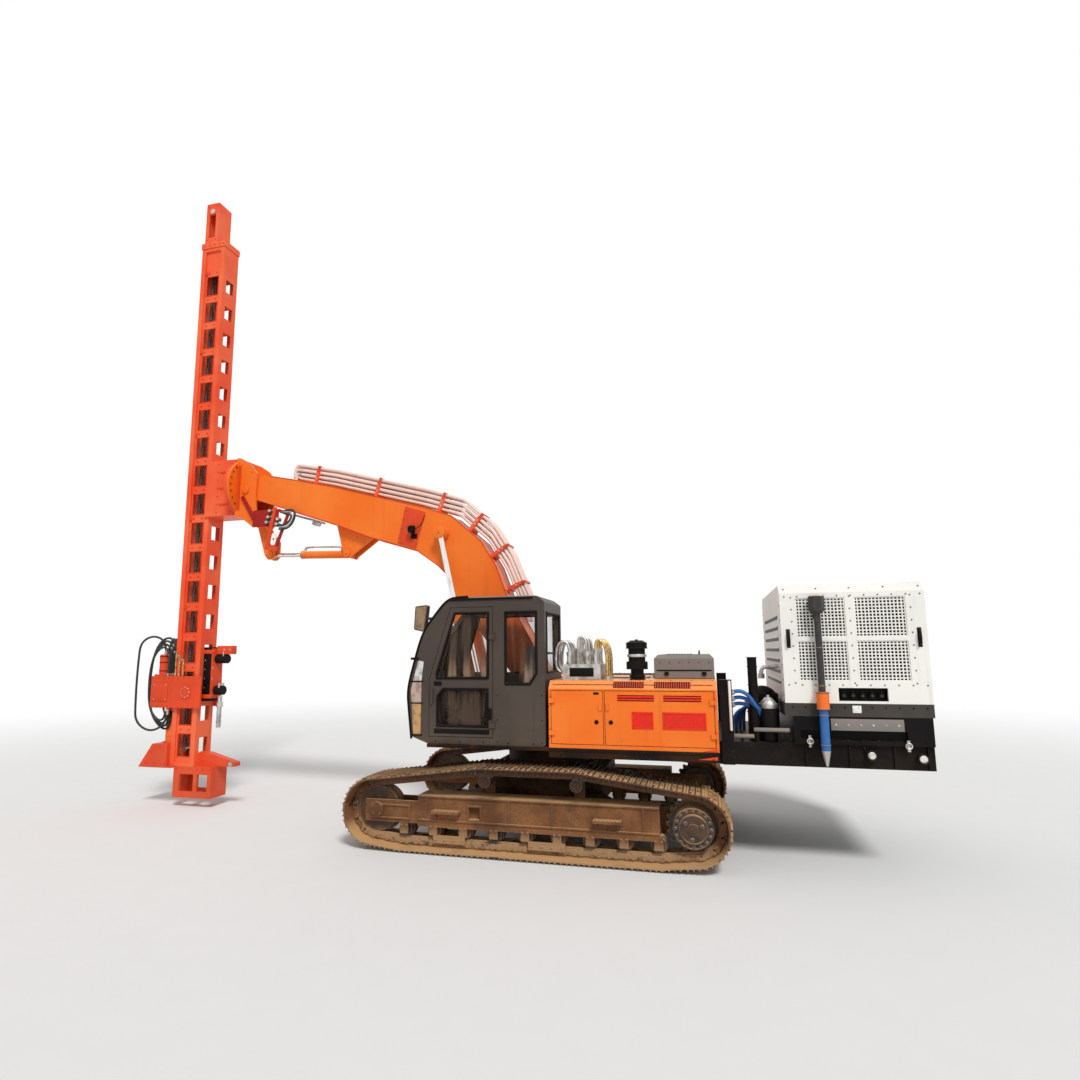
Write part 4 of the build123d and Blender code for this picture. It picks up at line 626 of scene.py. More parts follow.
COLOURS = {
    "orange": ("House and boom", (0.89, 0.16, 0.014)),
    "orange_faded": ("Sun-bleached house and boom", (0.93, 0.22, 0.03)),
    "red": ("Mast and rotary head", (0.86, 0.08, 0.022)),
    "red_faded": ("Sun-bleached mast", (0.92, 0.18, 0.07)),
    "cab": ("Dark paint of the cab", (0.062, 0.048, 0.038)),
    "black": ("Frames and platform", (0.006, 0.005, 0.005)),
    "white": ("Compressor canopy", (0.90, 0.89, 0.83)),
    "grey": ("Engine hood", (0.24, 0.225, 0.21)),
    # The pipes' pale pink is their paint with a painted highlight of the sky
    "pipe": ("Pressure pipes on the boom", (0.93, 0.68, 0.60)),
    "dust": ("Dry dust on flat faces", (0.38, 0.23, 0.115)),
    "mud": ("Caked earth on the tracks", (0.115, 0.042, 0.012)),
    "dried_mud": ("Pale dried earth", (0.25, 0.105, 0.036)),
    # Pale earth on up faces, which is a painted highlight
    "baked": ("Earth on faces in the sun", (0.58, 0.33, 0.14)),
    "rust": ("Steel under chipped paint", (0.14, 0.06, 0.03)),
    "worn_steel": ("Rubbed edges", (0.38, 0.33, 0.28)),
}


class RigColours(PropertyGroup):
    """Colours of the rig's paints and of what lies on them."""

    __annotations__ = {
        name: FloatVectorProperty(name=name.replace("_", " ").capitalize(), description=text,
                                  default=value, subtype="COLOR")
        for name, (text, value) in COLOURS.items()
    }


class RigSizes(PropertyGroup):
    """Sizes of the trim that a user would change."""

    hose: FloatProperty(
        name="Rotary hose", description="Outer diameter", default=0.032, min=0.01, unit="LENGTH")
    swell: FloatProperty(
        name="Cushion swell", description="How far a cushion's cover may stand out", default=0.018,
        min=0.0, unit="LENGTH")
    frames: IntProperty(
        name="Cushion frames", description="Steps of the cushion's simulation", default=20, min=1)


class StageSettings(PropertyGroup):
    """Floor, lamps and camera."""

    floor: FloatVectorProperty(
        name="Floor", description="Pale floor", default=(0.80, 0.80, 0.79), subtype="COLOR")
    key: FloatProperty(
        name="Key light", description="Strength of the soft sun", default=2.1, min=0.0)
    fill: FloatProperty(
        name="Fill", description="Strength of the room's light", default=0.5, min=0.0)
    lens: FloatProperty(
        name="Lens", description="Focal length", default=22.217, min=1.0, unit="CAMERA")


# Operators

class RIG_OT_camera(Operator):
    """Set the camera where the photograph was taken from"""

    bl_idname = "rig.camera"
    bl_label = "Camera"

    def execute(self, context):
        yaw, pitch, roll = math.radians(15.27), math.radians(8.14), math.radians(-0.42)
        ahead = Vector((-math.sin(yaw), math.cos(yaw), 0))
        right = Vector((math.cos(yaw), math.sin(yaw), 0))
        view = ahead * math.cos(pitch) + UP * math.sin(pitch)
        top = UP * math.cos(pitch) - ahead * math.sin(pitch)
        side = right * math.cos(roll) + top * math.sin(roll)
        top = top * math.cos(roll) - right * math.sin(roll)
        turn = Matrix((side, top, -view)).transposed().to_4x4()
        data = bpy.data.cameras.new("camera")
        data.sensor_width = 36.0
        data.lens = context.scene.rig_stage.lens
        data.shift_x, data.shift_y = 0.0161, 0.0143
        camera = bpy.data.objects.new("camera", data)
        camera.matrix_world = Matrix.Translation(at(2.05, -8.89, 2.29)) @ turn
        context.scene.collection.objects.link(camera)
        context.scene.camera = camera
        return {"FINISHED"}


# The two loops that feed the rotary head, from a motor's top down to the return ports
HOSE_LOOPS = {
    "rotary_hose_outer": (
        (-6.200, -0.110, 2.270), (-6.200, -0.110, 2.470), (-6.366, -0.201, 2.579),
        (-6.528, -0.289, 2.470), (-6.540, -0.296, 2.180), (-6.544, -0.298, 1.850),
        (-6.538, -0.297, 1.530), (-6.526, -0.291, 1.240), (-6.268, -0.249, 1.085),
        (-6.010, -0.205, 1.230), (-6.010, -0.205, 1.430),
    ),
    "rotary_hose_inner": (
        (-6.200, 0.110, 2.270), (-6.200, 0.110, 2.450), (-6.342, 0.188, 2.546),
        (-6.480, 0.266, 2.448), (-6.496, 0.276, 2.160), (-6.500, 0.279, 1.860),
        (-6.494, 0.276, 1.570), (-6.478, 0.270, 1.295), (-6.244, 0.238, 1.140),
        (-6.010, 0.205, 1.226), (-6.010, 0.205, 1.430),
    ),
}


class RIG_OT_hoses(Operator):
    """Lay the rotary head's two hoses and their crimped ends"""

    bl_idname = "rig.hoses"
    bl_label = "Rotary hoses"

    def execute(self, context):
        diameter = context.scene.rig_sizes.hose
        ends = Shape()
        for node, route in HOSE_LOOPS.items():
            points = [at(*point) for point in route]
            curve = bpy.data.curves.new(node + "_line", "CURVE")
            curve.dimensions = "3D"
            curve.bevel_depth = diameter / 2
            curve.bevel_resolution = 5
            curve.resolution_u = 12
            lay_spline(curve, points)
            curve.materials.append(finish("hose_rubber"))
            hose = bpy.data.objects.new(node + "_line", curve)
            context.scene.collection.objects.link(hose)
            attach(hose, "rotary_head")
            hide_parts(node)
            for end, inward in ((points[0], UP), (points[-1], -UP)):
                ends.rod(end, end + inward * 0.075, diameter * 0.66, 18, diameter * 0.6, 0.003)
                ends.rod(end - inward * 0.004, end + inward * 0.022, diameter * 0.86, 6)
                for step in range(3):
                    ends.ring(end + inward * (0.032 + step * 0.014), UP, diameter * 0.64, 0.0022)
        ends.done("hose_ends", "machined_steel", "rotary_head")
        return {"FINISHED"}


class RIG_OT_seat(Operator):
    """Upholster the driver's seat"""

    bl_idname = "rig.seat"
    bl_label = "Seat"

    def pad(self, context, name, low, high, lean):
        """One cushion: a rounded block, swollen as cloth over foam, leaning back."""
        shape = Shape()
        inset = Vector((0.012, 0.012, 0.012))
        shape.box(Vector(low) + inset, Vector(high) - inset, 0.03)
        foot = low[2]
        for vert in shape.bm.verts:
            vert.co.x += (vert.co.z - foot) * lean
        pad = shape.done(name, "seat_fabric", "house")
        remesh = pad.modifiers.new("remesh", "REMESH")
        remesh.mode = "VOXEL"
        remesh.voxel_size = 0.007
        self.bake(context, pad)
        before = [vert.co.copy() for vert in pad.data.vertices]
        cloth = pad.modifiers.new("cloth", "CLOTH")
        cloth.settings.use_pressure = True
        cloth.settings.uniform_pressure_force = 4.0
        cloth.settings.effector_weights.gravity = 0.0
        for step in range(1, context.scene.rig_sizes.frames + 1):
            context.scene.frame_set(step)
        self.bake(context, pad)
        context.scene.frame_set(1)
        limit = context.scene.rig_sizes.swell
        for vert, start in zip(pad.data.vertices, before):
            move = vert.co - start
            if move.length > limit:
                vert.co = start + move * (limit / move.length)
        for face in pad.data.polygons:
            face.use_smooth = True
        pad.modifiers.new("smooth", "SUBSURF").levels = 1
        pad.modifiers["smooth"].render_levels = 1
        return pad

    def bake(self, context, pad):
        """The mesh with its modifiers applied."""
        context.view_layer.update()
        shown = pad.evaluated_get(context.evaluated_depsgraph_get())
        mesh = bpy.data.meshes.new_from_object(shown)
        pad.modifiers.clear()
        pad.data = mesh

    def execute(self, context):
        self.pad(context, "seat_cushion", at(-0.62, -1.056, 1.5603), at(-0.15, -0.684, 1.68), 0.0)
        self.pad(context, "seat_back", at(-0.135, -1.05, 1.5603), at(-0.045, -0.69, 2.38), 0.09)
        for name in ("seat_cushion", "seat_back"):
            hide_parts("seat_cushions")
        return {"FINISHED"}


# The belt's wheels: X, Z and the radius of the shoes' outer faces round each, from the front
WHEELS = (
    (-1.83, 0.435, 0.3683), (-0.505, 0.7917, 0.1823), (0.57, 0.7917, 0.1823),
    (1.83, 0.435, 0.3683), (1.464, 0.2203, 0.1943), (-1.48, 0.2203, 0.1943),
)
GAUGE = 1.195
SHOE_PITCH = 0.19
ROLLERS = [-1.48 + i * 0.368 for i in range(9)]


def belt():
    """The belt as round and straight stretches: start, radius or None, angle, length."""
    count = len(WHEELS)
    normals = []
    for i, (x, z, radius) in enumerate(WHEELS):
        next_x, next_z, next_radius = WHEELS[(i + 1) % count]
        dx, dz = next_x - x, next_z - z
        lean = math.acos((radius - next_radius) / math.hypot(dx, dz))
        normals.append(math.atan2(dz, dx) + lean)
    stretches = []
    for i, (x, z, radius) in enumerate(WHEELS):
        arrive, leave = normals[i - 1], normals[i]
        turn = (arrive - leave) % (2 * math.pi)
        stretches.append(((x, z), radius, arrive, radius * turn))
        next_x, next_z, next_radius = WHEELS[(i + 1) % count]
        cos, sin = math.cos(leave), math.sin(leave)
        start = (x + radius * cos, z + radius * sin)
        end = (next_x + next_radius * cos, next_z + next_radius * sin)
        stretches.append((start, None, leave, math.dist(start, end)))
    return stretches


def shoe_places(y):
    """A matrix for each shoe: X along the belt, Y across it and Z away from its wheels."""
    stretches = belt()
    total = sum(stretch[3] for stretch in stretches)
    count = round(total / SHOE_PITCH)
    places = []
    for i in range(count):
        left = total * (i + 0.5) / count
        for start, radius, angle, length in stretches:
            if left <= length:
                break
            left -= length
        if radius:
            angle -= left / radius
            point = (start[0] + radius * math.cos(angle), start[1] + radius * math.sin(angle))
        else:
            point = (start[0] + left * math.sin(angle), start[1] - left * math.cos(angle))
        out = Vector((math.cos(angle), 0, math.sin(angle)))
        run = Vector((0, 1, 0)).cross(out)
        turn = Matrix((run, (0, 1, 0), out)).transposed().to_4x4()
        places.append(Matrix.Translation(at(point[0], y, point[1])) @ turn)
    return places


class RIG_OT_tracks(Operator):
    """Add the chain's links and pins, the shoes' bolts and caked earth on the shoes"""

    bl_idname = "rig.tracks"
    bl_label = "Track chains"

    def execute(self, context):
        for name, side in (("near", -1), ("far", 1)):
            link = Shape()
            for hand in (-1, 1):
                rail = hand * 0.0985
                link.box((-0.088, rail, -0.094), (0.088, rail + hand * 0.014, -0.036))
                for x in (-0.06, 0.06):
                    link.rod((x, rail, -0.063), (x, rail + hand * 0.022, -0.063), 0.034, 12)
                link.rod((0.095, rail, -0.063), (0.095, rail + hand * 0.03, -0.063), 0.019, 10)
                for x in (-0.03, 0.03):
                    link.rod((x, hand * 0.075, -0.002), (x, hand * 0.075, 0.011), 0.0135, 6)
                    link.rod((x, hand * 0.135, -0.002), (x, hand * 0.135, 0.011), 0.0135, 6)
            for y in (-0.26, 0.26):
                link.box((-0.055, y - 0.02, 0.0), (-0.036, y + 0.035, 0.019), 0.004)
            chain = Shape().scatter(link, shoe_places(side * GAUGE))
            chain.done("track_chain_" + name, "track_steel", "undercarriage")
        return {"FINISHED"}


class RIG_OT_undercarriage(Operator):
    """Add bolts, caps, strips and steps to the undercarriage"""

    bl_idname = "rig.undercarriage"
    bl_label = "Undercarriage"

    def drive(self, shape, side, out):
        """The final drive's ring of bolts, its plugs and its centre cap."""
        hub, lip = at(1.83, side * 1.4, 0.435), at(1.83, side * 1.43, 0.435)
        shape.bolts(hub, out, 0.181, 16, 0.017)
        shape.ring(hub, out, 0.2, 0.007, 36)
        shape.bolts(lip, out, 0.1, 3, 0.02, 0.4)
        shape.disc(lip, out, 0.012, 0.062, 28, 0.004)
        shape.ring(lip, out, 0.14, 0.006, 32)

    def beam(self, shape, side, out):
        """Strips along the beam, a framed panel at its front, bolts and bearing caps."""
        face = side * 1.35
        low, high = face - side * 0.004, face + side * 0.014
        for z in (0.337, 0.598):
            shape.box(at(-1.30, low, z), at(1.475, high, z + 0.02), 0.004)
        for x in (-1.9, -1.42):
            shape.box(at(x, low, 0.335), at(x + 0.022, high, 0.5), 0.004)
        for z in (0.335, 0.482):
            shape.box(at(-1.9, low, z), at(-1.398, high - side * 0.001, z + 0.02), 0.004)
        for x in (-0.695, -0.537):
            shape.box(at(x, low, 0.356), at(x + 0.022, high, 0.535), 0.004)
        for z in (0.356, 0.513):
            shape.box(at(-0.674, low, z), at(-0.538, high - side * 0.001, z + 0.022), 0.004)
        for x in (-1.2, -0.2, 0.3, 1.3):
            shape.box(at(x, low, 0.36), at(x + 0.016, high, 0.597), 0.003)
        for x in ROLLERS:
            shape.rows((x - 0.03, x + 0.03), (face,), (0.268,), out, 0.015)
        for first, last in ((-1.11, -0.72), (0.03, 0.45)):
            span = last - first
            shape.rows(row(first + span * 0.08, span * 0.28, 4), (face,), (0.135,), out, 0.014)
        shape.disc(at(-1.83, face, 0.435), out, 0.022, 0.088, 28, 0.005)
        shape.bolts(at(-1.83, face + side * 0.022, 0.435), out, 0.064, 4, 0.011, math.pi / 4)
        for x in (-0.505, 0.57):
            shape.disc(at(x, side * 1.295, 0.7917), out, 0.012, 0.044, 20)
            shape.bolts(at(x, side * 1.307, 0.7917), out, 0.028, 3, 0.007)
        for first, last in ((-1.10, -0.77), (0.775, 1.08)):
            steps = int((last - first) / 0.04)
            for i in range(steps):
                x = first + 0.02 + i * (last - first) / steps
                shape.box(at(x, face, 0.469), at(x + 0.012, face + side * 0.092, 0.476))
            for x in (first + 0.02, last - 0.04):
                gusset = [at(x, face, 0.441), at(x, face + side * 0.085, 0.441), at(x, face, 0.37)]
                shape.prism(gusset, Vector((0.014, 0, 0)))
        for x in ROLLERS:
            shape.disc(at(x, side * 1.323, 0.2203), out, 0.008, 0.03, 14, 0.0)

    def execute(self, context):
        shape, drives = Shape(), Shape()
        for side, out in SIDES:
            self.drive(drives, side, out)
            self.beam(shape, side, out)
        shape.done("track_frame_trim", "frame_mud", "undercarriage")
        drives.done("drive_trim", "roller_steel", "undercarriage", "track_steel")
        body = Shape()
        body.bolts(at(0, 0, 0.89), UP, 0.588, 36, 0.014)
        body.rod(at(0, 0, 0.451), at(0, 0, 0.436), 0.24, 36, edge=0.003)
        body.bolts(at(0, 0, 0.436), -UP, 0.21, 12, 0.012)
        for end in (-1, 1):
            face = end * 0.75
            for y in (-0.5, 0.5):
                body.box(at(face, y - 0.1, 0.58), at(face + end * 0.008, y + 0.1, 0.76), 0.003)
                body.rows((end * 0.758,), (y - 0.08, y + 0.08), (0.60, 0.74), (end, 0, 0), 0.009)
            body.box(at(face, -0.085, 0.596), at(face + end * 0.05, 0.085, 0.664), 0.006)
        body.done("carbody_trim", "muddy_black", "undercarriage")
        return {"FINISHED"}


class RIG_OT_house(Operator):
    """Add grilles, bolts, latches, caps and the valves' pipes to the house"""

    bl_idname = "rig.house"
    bl_label = "House trim"

    def slope_grille(self, ribs, back, side, first, last):
        """Upright ribs on the sloped edge of the roof."""
        along = Vector((0, -side, 1)).normalized()
        out = Vector((0, side, 1)).normalized()
        foot = at(first, side * HOUSE_SIDE, 1.86)
        run = Vector((1, 0, 0))
        count = int((last - first) / 0.023)
        for i in range(count):
            start = foot + run * (i + 0.5) * (last - first) / count + along * 0.02
            ribs.prism([start, start + along * 0.088, start + along * 0.088 + out * 0.006,
                        start + out * 0.006], run * 0.010)
        start = foot + along * 0.016
        back.prism([start, start + along * 0.096, start + along * 0.096 + out * 0.0015,
                    start + out * 0.0015], run * (last - first))

    def mesh_panel(self, bars, back, side, x, z):
        """A framed panel of fine crossed bars."""
        y = side * HOUSE_SIDE
        back.box(at(x[0], y, z[0]), at(x[1], y + side * 0.0015, z[1]))
        columns, rows = int((x[1] - x[0]) / 0.021), int((z[1] - z[0]) / 0.021)
        for i in range(1, columns):
            place = x[0] + (x[1] - x[0]) * i / columns
            bars.box(at(place - 0.0045, y, z[0]), at(place + 0.0045, y + side * 0.006, z[1]))
        for i in range(1, rows):
            place = z[0] + (z[1] - z[0]) * i / rows
            bars.box(at(x[0], y, place - 0.0045), at(x[1], y + side * 0.005, place + 0.0045))
        for place in x:
            bars.box(at(place - 0.008, y, z[0] - 0.008),
                     at(place + 0.008, y + side * 0.009, z[1] + 0.008), 0.002)
        for place in z:
            bars.box(at(x[0], y, place - 0.0079), at(x[1], y + side * 0.009, place + 0.0079), 0.002)

    def doors(self):
        for body, side in (("side_door_rear", -1), ("side_door_right", 1)):
            bars, back, latch = Shape(), Shape(), Shape()
            for x in ((1.23, 1.445), (1.56, 2.0)):
                self.mesh_panel(bars, back, side, x, (1.445, 1.61))
            self.latch(latch, side, 0.99, 1.5)
            outer = side * (HOUSE_SIDE + 0.0018)
            for x in (1.067, 1.567):
                for z in (1.7405, 1.7685):
                    back.box(at(x, side * HOUSE_SIDE, z), at(x + 0.4, outer, z + 0.017))
            bars.done(body + "_mesh", "mesh_red", body)
            back.done(body + "_mesh_back", "mesh_red", body)
            latch.done(body + "_latch", "black_paint", body)
        latch = Shape()
        self.latch(latch, -1, 0.83, 1.5)
        latch.box(at(0.80, -1.36, 1.80), at(0.86, -1.353, 1.825), 0.002)
        latch.done("side_door_front_latch", "black_paint", "side_door_front")

    def latch(self, shape, side, x, z):
        """A key lock in a round boss."""
        y = side * HOUSE_SIDE
        shape.rod(at(x, y, z), at(x, y + side * 0.007, z), 0.024, 20, edge=0.002)
        shape.rod(at(x, y, z), at(x, y + side * 0.011, z), 0.012, 14)

    def deck(self):
        trim, red = Shape(), Shape()
        for side, out in SIDES:
            trim.rows(row(0.42, 0.235, 8), (side * HOUSE_SIDE,), (1.137,), out, 0.011)
            trim.box(at(0.29, side * 1.354, 1.172), at(2.125, side * 1.362, 1.205), 0.003)
            trim.disc(at(-0.15, side * 0.25, 1.9), out, 0.012, 0.08, 28)
            trim.bolts(at(-0.15, side * 0.262, 1.9), out, 0.058, 4, 0.011, math.pi / 4)
            trim.disc(at(-0.9, side * 0.362, 1.42), out, 0.008, 0.05, 24, 0.002)
            trim.rows((-0.62, 0.2), (side * 0.236,), (1.33,), out, 0.012)
        trim.done("deck_trim", "black_paint", "house")
        red.prism([at(1.9, -1.361, 1.13), at(2.11, -1.361, 1.13), at(2.11, -1.361, 1.168)],
                  Vector((0, 0.008, 0)))
        red.prism([at(1.96, -1.3625, 1.214), at(2.11, -1.3625, 1.214), at(2.11, -1.3625, 1.246)],
                  Vector((0, 0.008, 0)))
        red.done("corner_wedge", "red_trim", "house")

    def roof(self):
        """Grilles on the sloped edges, anti-slip plates, bolts, rings, the tank's cap and steps."""
        ribs, back, plates = Shape(), Shape(), Shape()
        for side in (-1, 1):
            for first, last in ((1.02, 1.36), (1.47, 1.86)):
                self.slope_grille(ribs, back, side, first, last)
        for y in ((-0.60, -0.30), (0.42, 0.72), (0.8, 1.1)):
            plates.box(at(0.72, y[0], 1.949), at(1.36, y[1], 1.954), 0.0015)
            for x in row(0.76, 0.051, 12):
                for side in row(y[0] + 0.04, 0.055, 5):
                    plates.box(at(x, side, 1.953), at(x + 0.03, side + 0.012, 1.957))
            plates.rows((0.735, 1.345), (y[0] + 0.014, y[1] - 0.014), (1.954,), UP, 0.006)
        plates.rows(row(0.33, 0.22, 9), (-1.245, 1.245), (1.95,), UP, 0.008)
        plates.ring(at(0.5, 0.85, 1.985), FAR, 0.035, 0.010)
        plates.ring(at(2.05, 0.85, 1.985), FAR, 0.035, 0.010)
        ribs.done("roof_grille", "red_trim", "house", "orange_paint")
        # A black sheet under the ribs: painted shade in the grille's slots
        back.done("roof_grille_back", "black_paint", "house")
        plates.done("roof_trim", "dark_grey", "house")
        tank = Shape()
        for i in range(10):
            turn = i * math.pi / 5
            x, y = -0.3 + 0.058 * math.cos(turn), 0.9 + 0.058 * math.sin(turn)
            tank.box(at(x - 0.006, y - 0.006, 1.932), at(x + 0.006, y + 0.006, 1.97))
        tank.rod(at(-0.3, 0.9, 1.974), at(-0.3, 0.9, 1.986), 0.03, 18, edge=0.003)
        for x in row(-1.12, 0.05, 7):
            tank.box(at(x, 0.5, 1.525), at(x + 0.015, 1.3, 1.56))
        tank.rod(at(-1.17, 1.315, 1.21), at(-1.17, 1.315, 1.218), 0.045, 20, edge=0.002)
        tank.rows((-1.15,), (0.52, 1.28), (1.27, 1.49), AHEAD, 0.009)
        tank.done("tank_trim", "black_paint", "house")

    def breather(self):
        """The bowl's bright band with its clamp, and the collar's bolts."""
        band = Shape()
        x, y = 1.26, -1.0
        band.rod(at(x, y, 2.209), at(x, y, 2.242), 0.1105, 36, edge=0.003)
        band.box(at(x - 0.012, y - 0.138, 2.212), at(x + 0.012, y - 0.106, 2.238), 0.003)
        band.rod(at(x - 0.03, y - 0.126, 2.225), at(x + 0.03, y - 0.126, 2.225), 0.005, 8)
        band.done("breather_band", "machined_steel", "house")
        cap = Shape()
        cap.bolts(at(x, y, 2.155), UP, 0.108, 10, 0.007)
        cap.ring(at(x, y, 2.31), UP, 0.12, 0.005, 32)
        cap.ring(at(x, y, 2.37), UP, 0.12, 0.005, 32)
        cap.rod(at(x, y, 2.398), at(x, y, 2.412), 0.018, 12, edge=0.003)
        cap.ring(at(x, y, 1.957), UP, 0.085, 0.008, 28)
        cap.done("breather_trim", "black_paint", "house")

    def valves(self):
        """Bright tubes looped over the valves, and their unions."""
        steel, tan, black = Shape(), Shape(), Shape()
        for y in row(-1.09, 0.18, 3):
            for i, x in enumerate(row(0.48, 0.105, 4)):
                top = 2.26 + 0.04 * (i % 2)
                steel.rod(at(x, y, 2.128), at(x, y, 2.158), 0.038, 6)
                steel.rod(at(x, y, top - 0.03), at(x, y, top + 0.012), 0.034, 6)
            steel.pipe([at(x, y, z) for x, z in (
                (0.48, 2.265), (0.48, 2.39), (0.36, 2.40), (0.315, 2.25), (0.33, 2.03),
                (0.425, 2.03))], 0.016)
            steel.pipe([at(0.585, y, 2.305), at(0.585, y, 2.43), at(0.64, y + 0.01, 2.455),
                        at(0.69, y, 2.40), at(0.69, y, 2.265)], 0.015)
            tan.pipe([at(x, y, z) for x, z in (
                (0.795, 2.305), (0.795, 2.40), (0.86, 2.41), (0.925, 2.3), (0.925, 2.0),
                (0.925, 1.95))], 0.018)
            steel.rod(at(0.925, y, 1.95), at(0.925, y, 1.99), 0.03, 6)
            steel.rod(at(0.405, y, 2.03), at(0.421, y, 2.03), 0.028, 6)
        black.rows((0.46, 0.82), (-1.1, -0.91, -0.72), (2.129,), UP, 0.008)
        black.box(at(0.50, -1.188, 1.99), at(0.78, -1.178, 2.09), 0.003)
        black.rows((0.52, 0.76), (-1.188,), (2.005, 2.075), NEAR, 0.007)
        steel.done("valve_tubes", "machined_steel", "house")
        tan.done("valve_hoses", "brass", "house")
        black.done("valve_trim", "black_paint", "house")

    def hood(self):
        trim = Shape()
        for side, out in SIDES:
            y = side * 0.7
            trim.box(at(1.46, y, 2.04), at(2.09, y + side * 0.006, 2.055), 0.002)
            for x in (1.55, 1.98):
                trim.box(at(x, y, 1.99), at(x + 0.05, y + side * 0.018, 2.03), 0.004)
            trim.rows(row(1.5, 0.112, 6), (y,), (2.14,), out, 0.006)
        trim.pipe([at(1.95, -0.16, 2.228), at(1.95, -0.16, 2.268), at(1.95, 0, 2.275),
                   at(1.95, 0.16, 2.268), at(1.95, 0.16, 2.228)], 0.009)
        for x in row(1.56, 0.04, 8):
            trim.box(at(x, -0.4, 2.229), at(x + 0.015, 0.4, 2.236), 0.002)
        trim.done("hood_trim", "black_paint", "engine_hood")

    def execute(self, context):
        self.doors()
        self.deck()
        self.roof()
        self.breather()
        self.valves()
        self.hood()
        return {"FINISHED"}


DOOR_UPPER = ((-1.09, 2.04), (-0.868, 2.74), (-0.45, 2.74), (-0.45, 1.975), (-1.09, 1.975))
DOOR_LOWER = ((-1.08, 1.42), (-1.08, 1.76), (-1.01, 1.845), (-0.455, 1.845), (-0.455, 1.42))
REAR_SIDE = ((-0.23, 1.91), (-0.23, 2.74), (0.14, 2.74), (0.14, 2.03), (0.06, 1.91))
FAR_SIDE = ((-1.09, 2.0), (-0.868, 2.74), (0.14, 2.74), (0.14, 2.0))


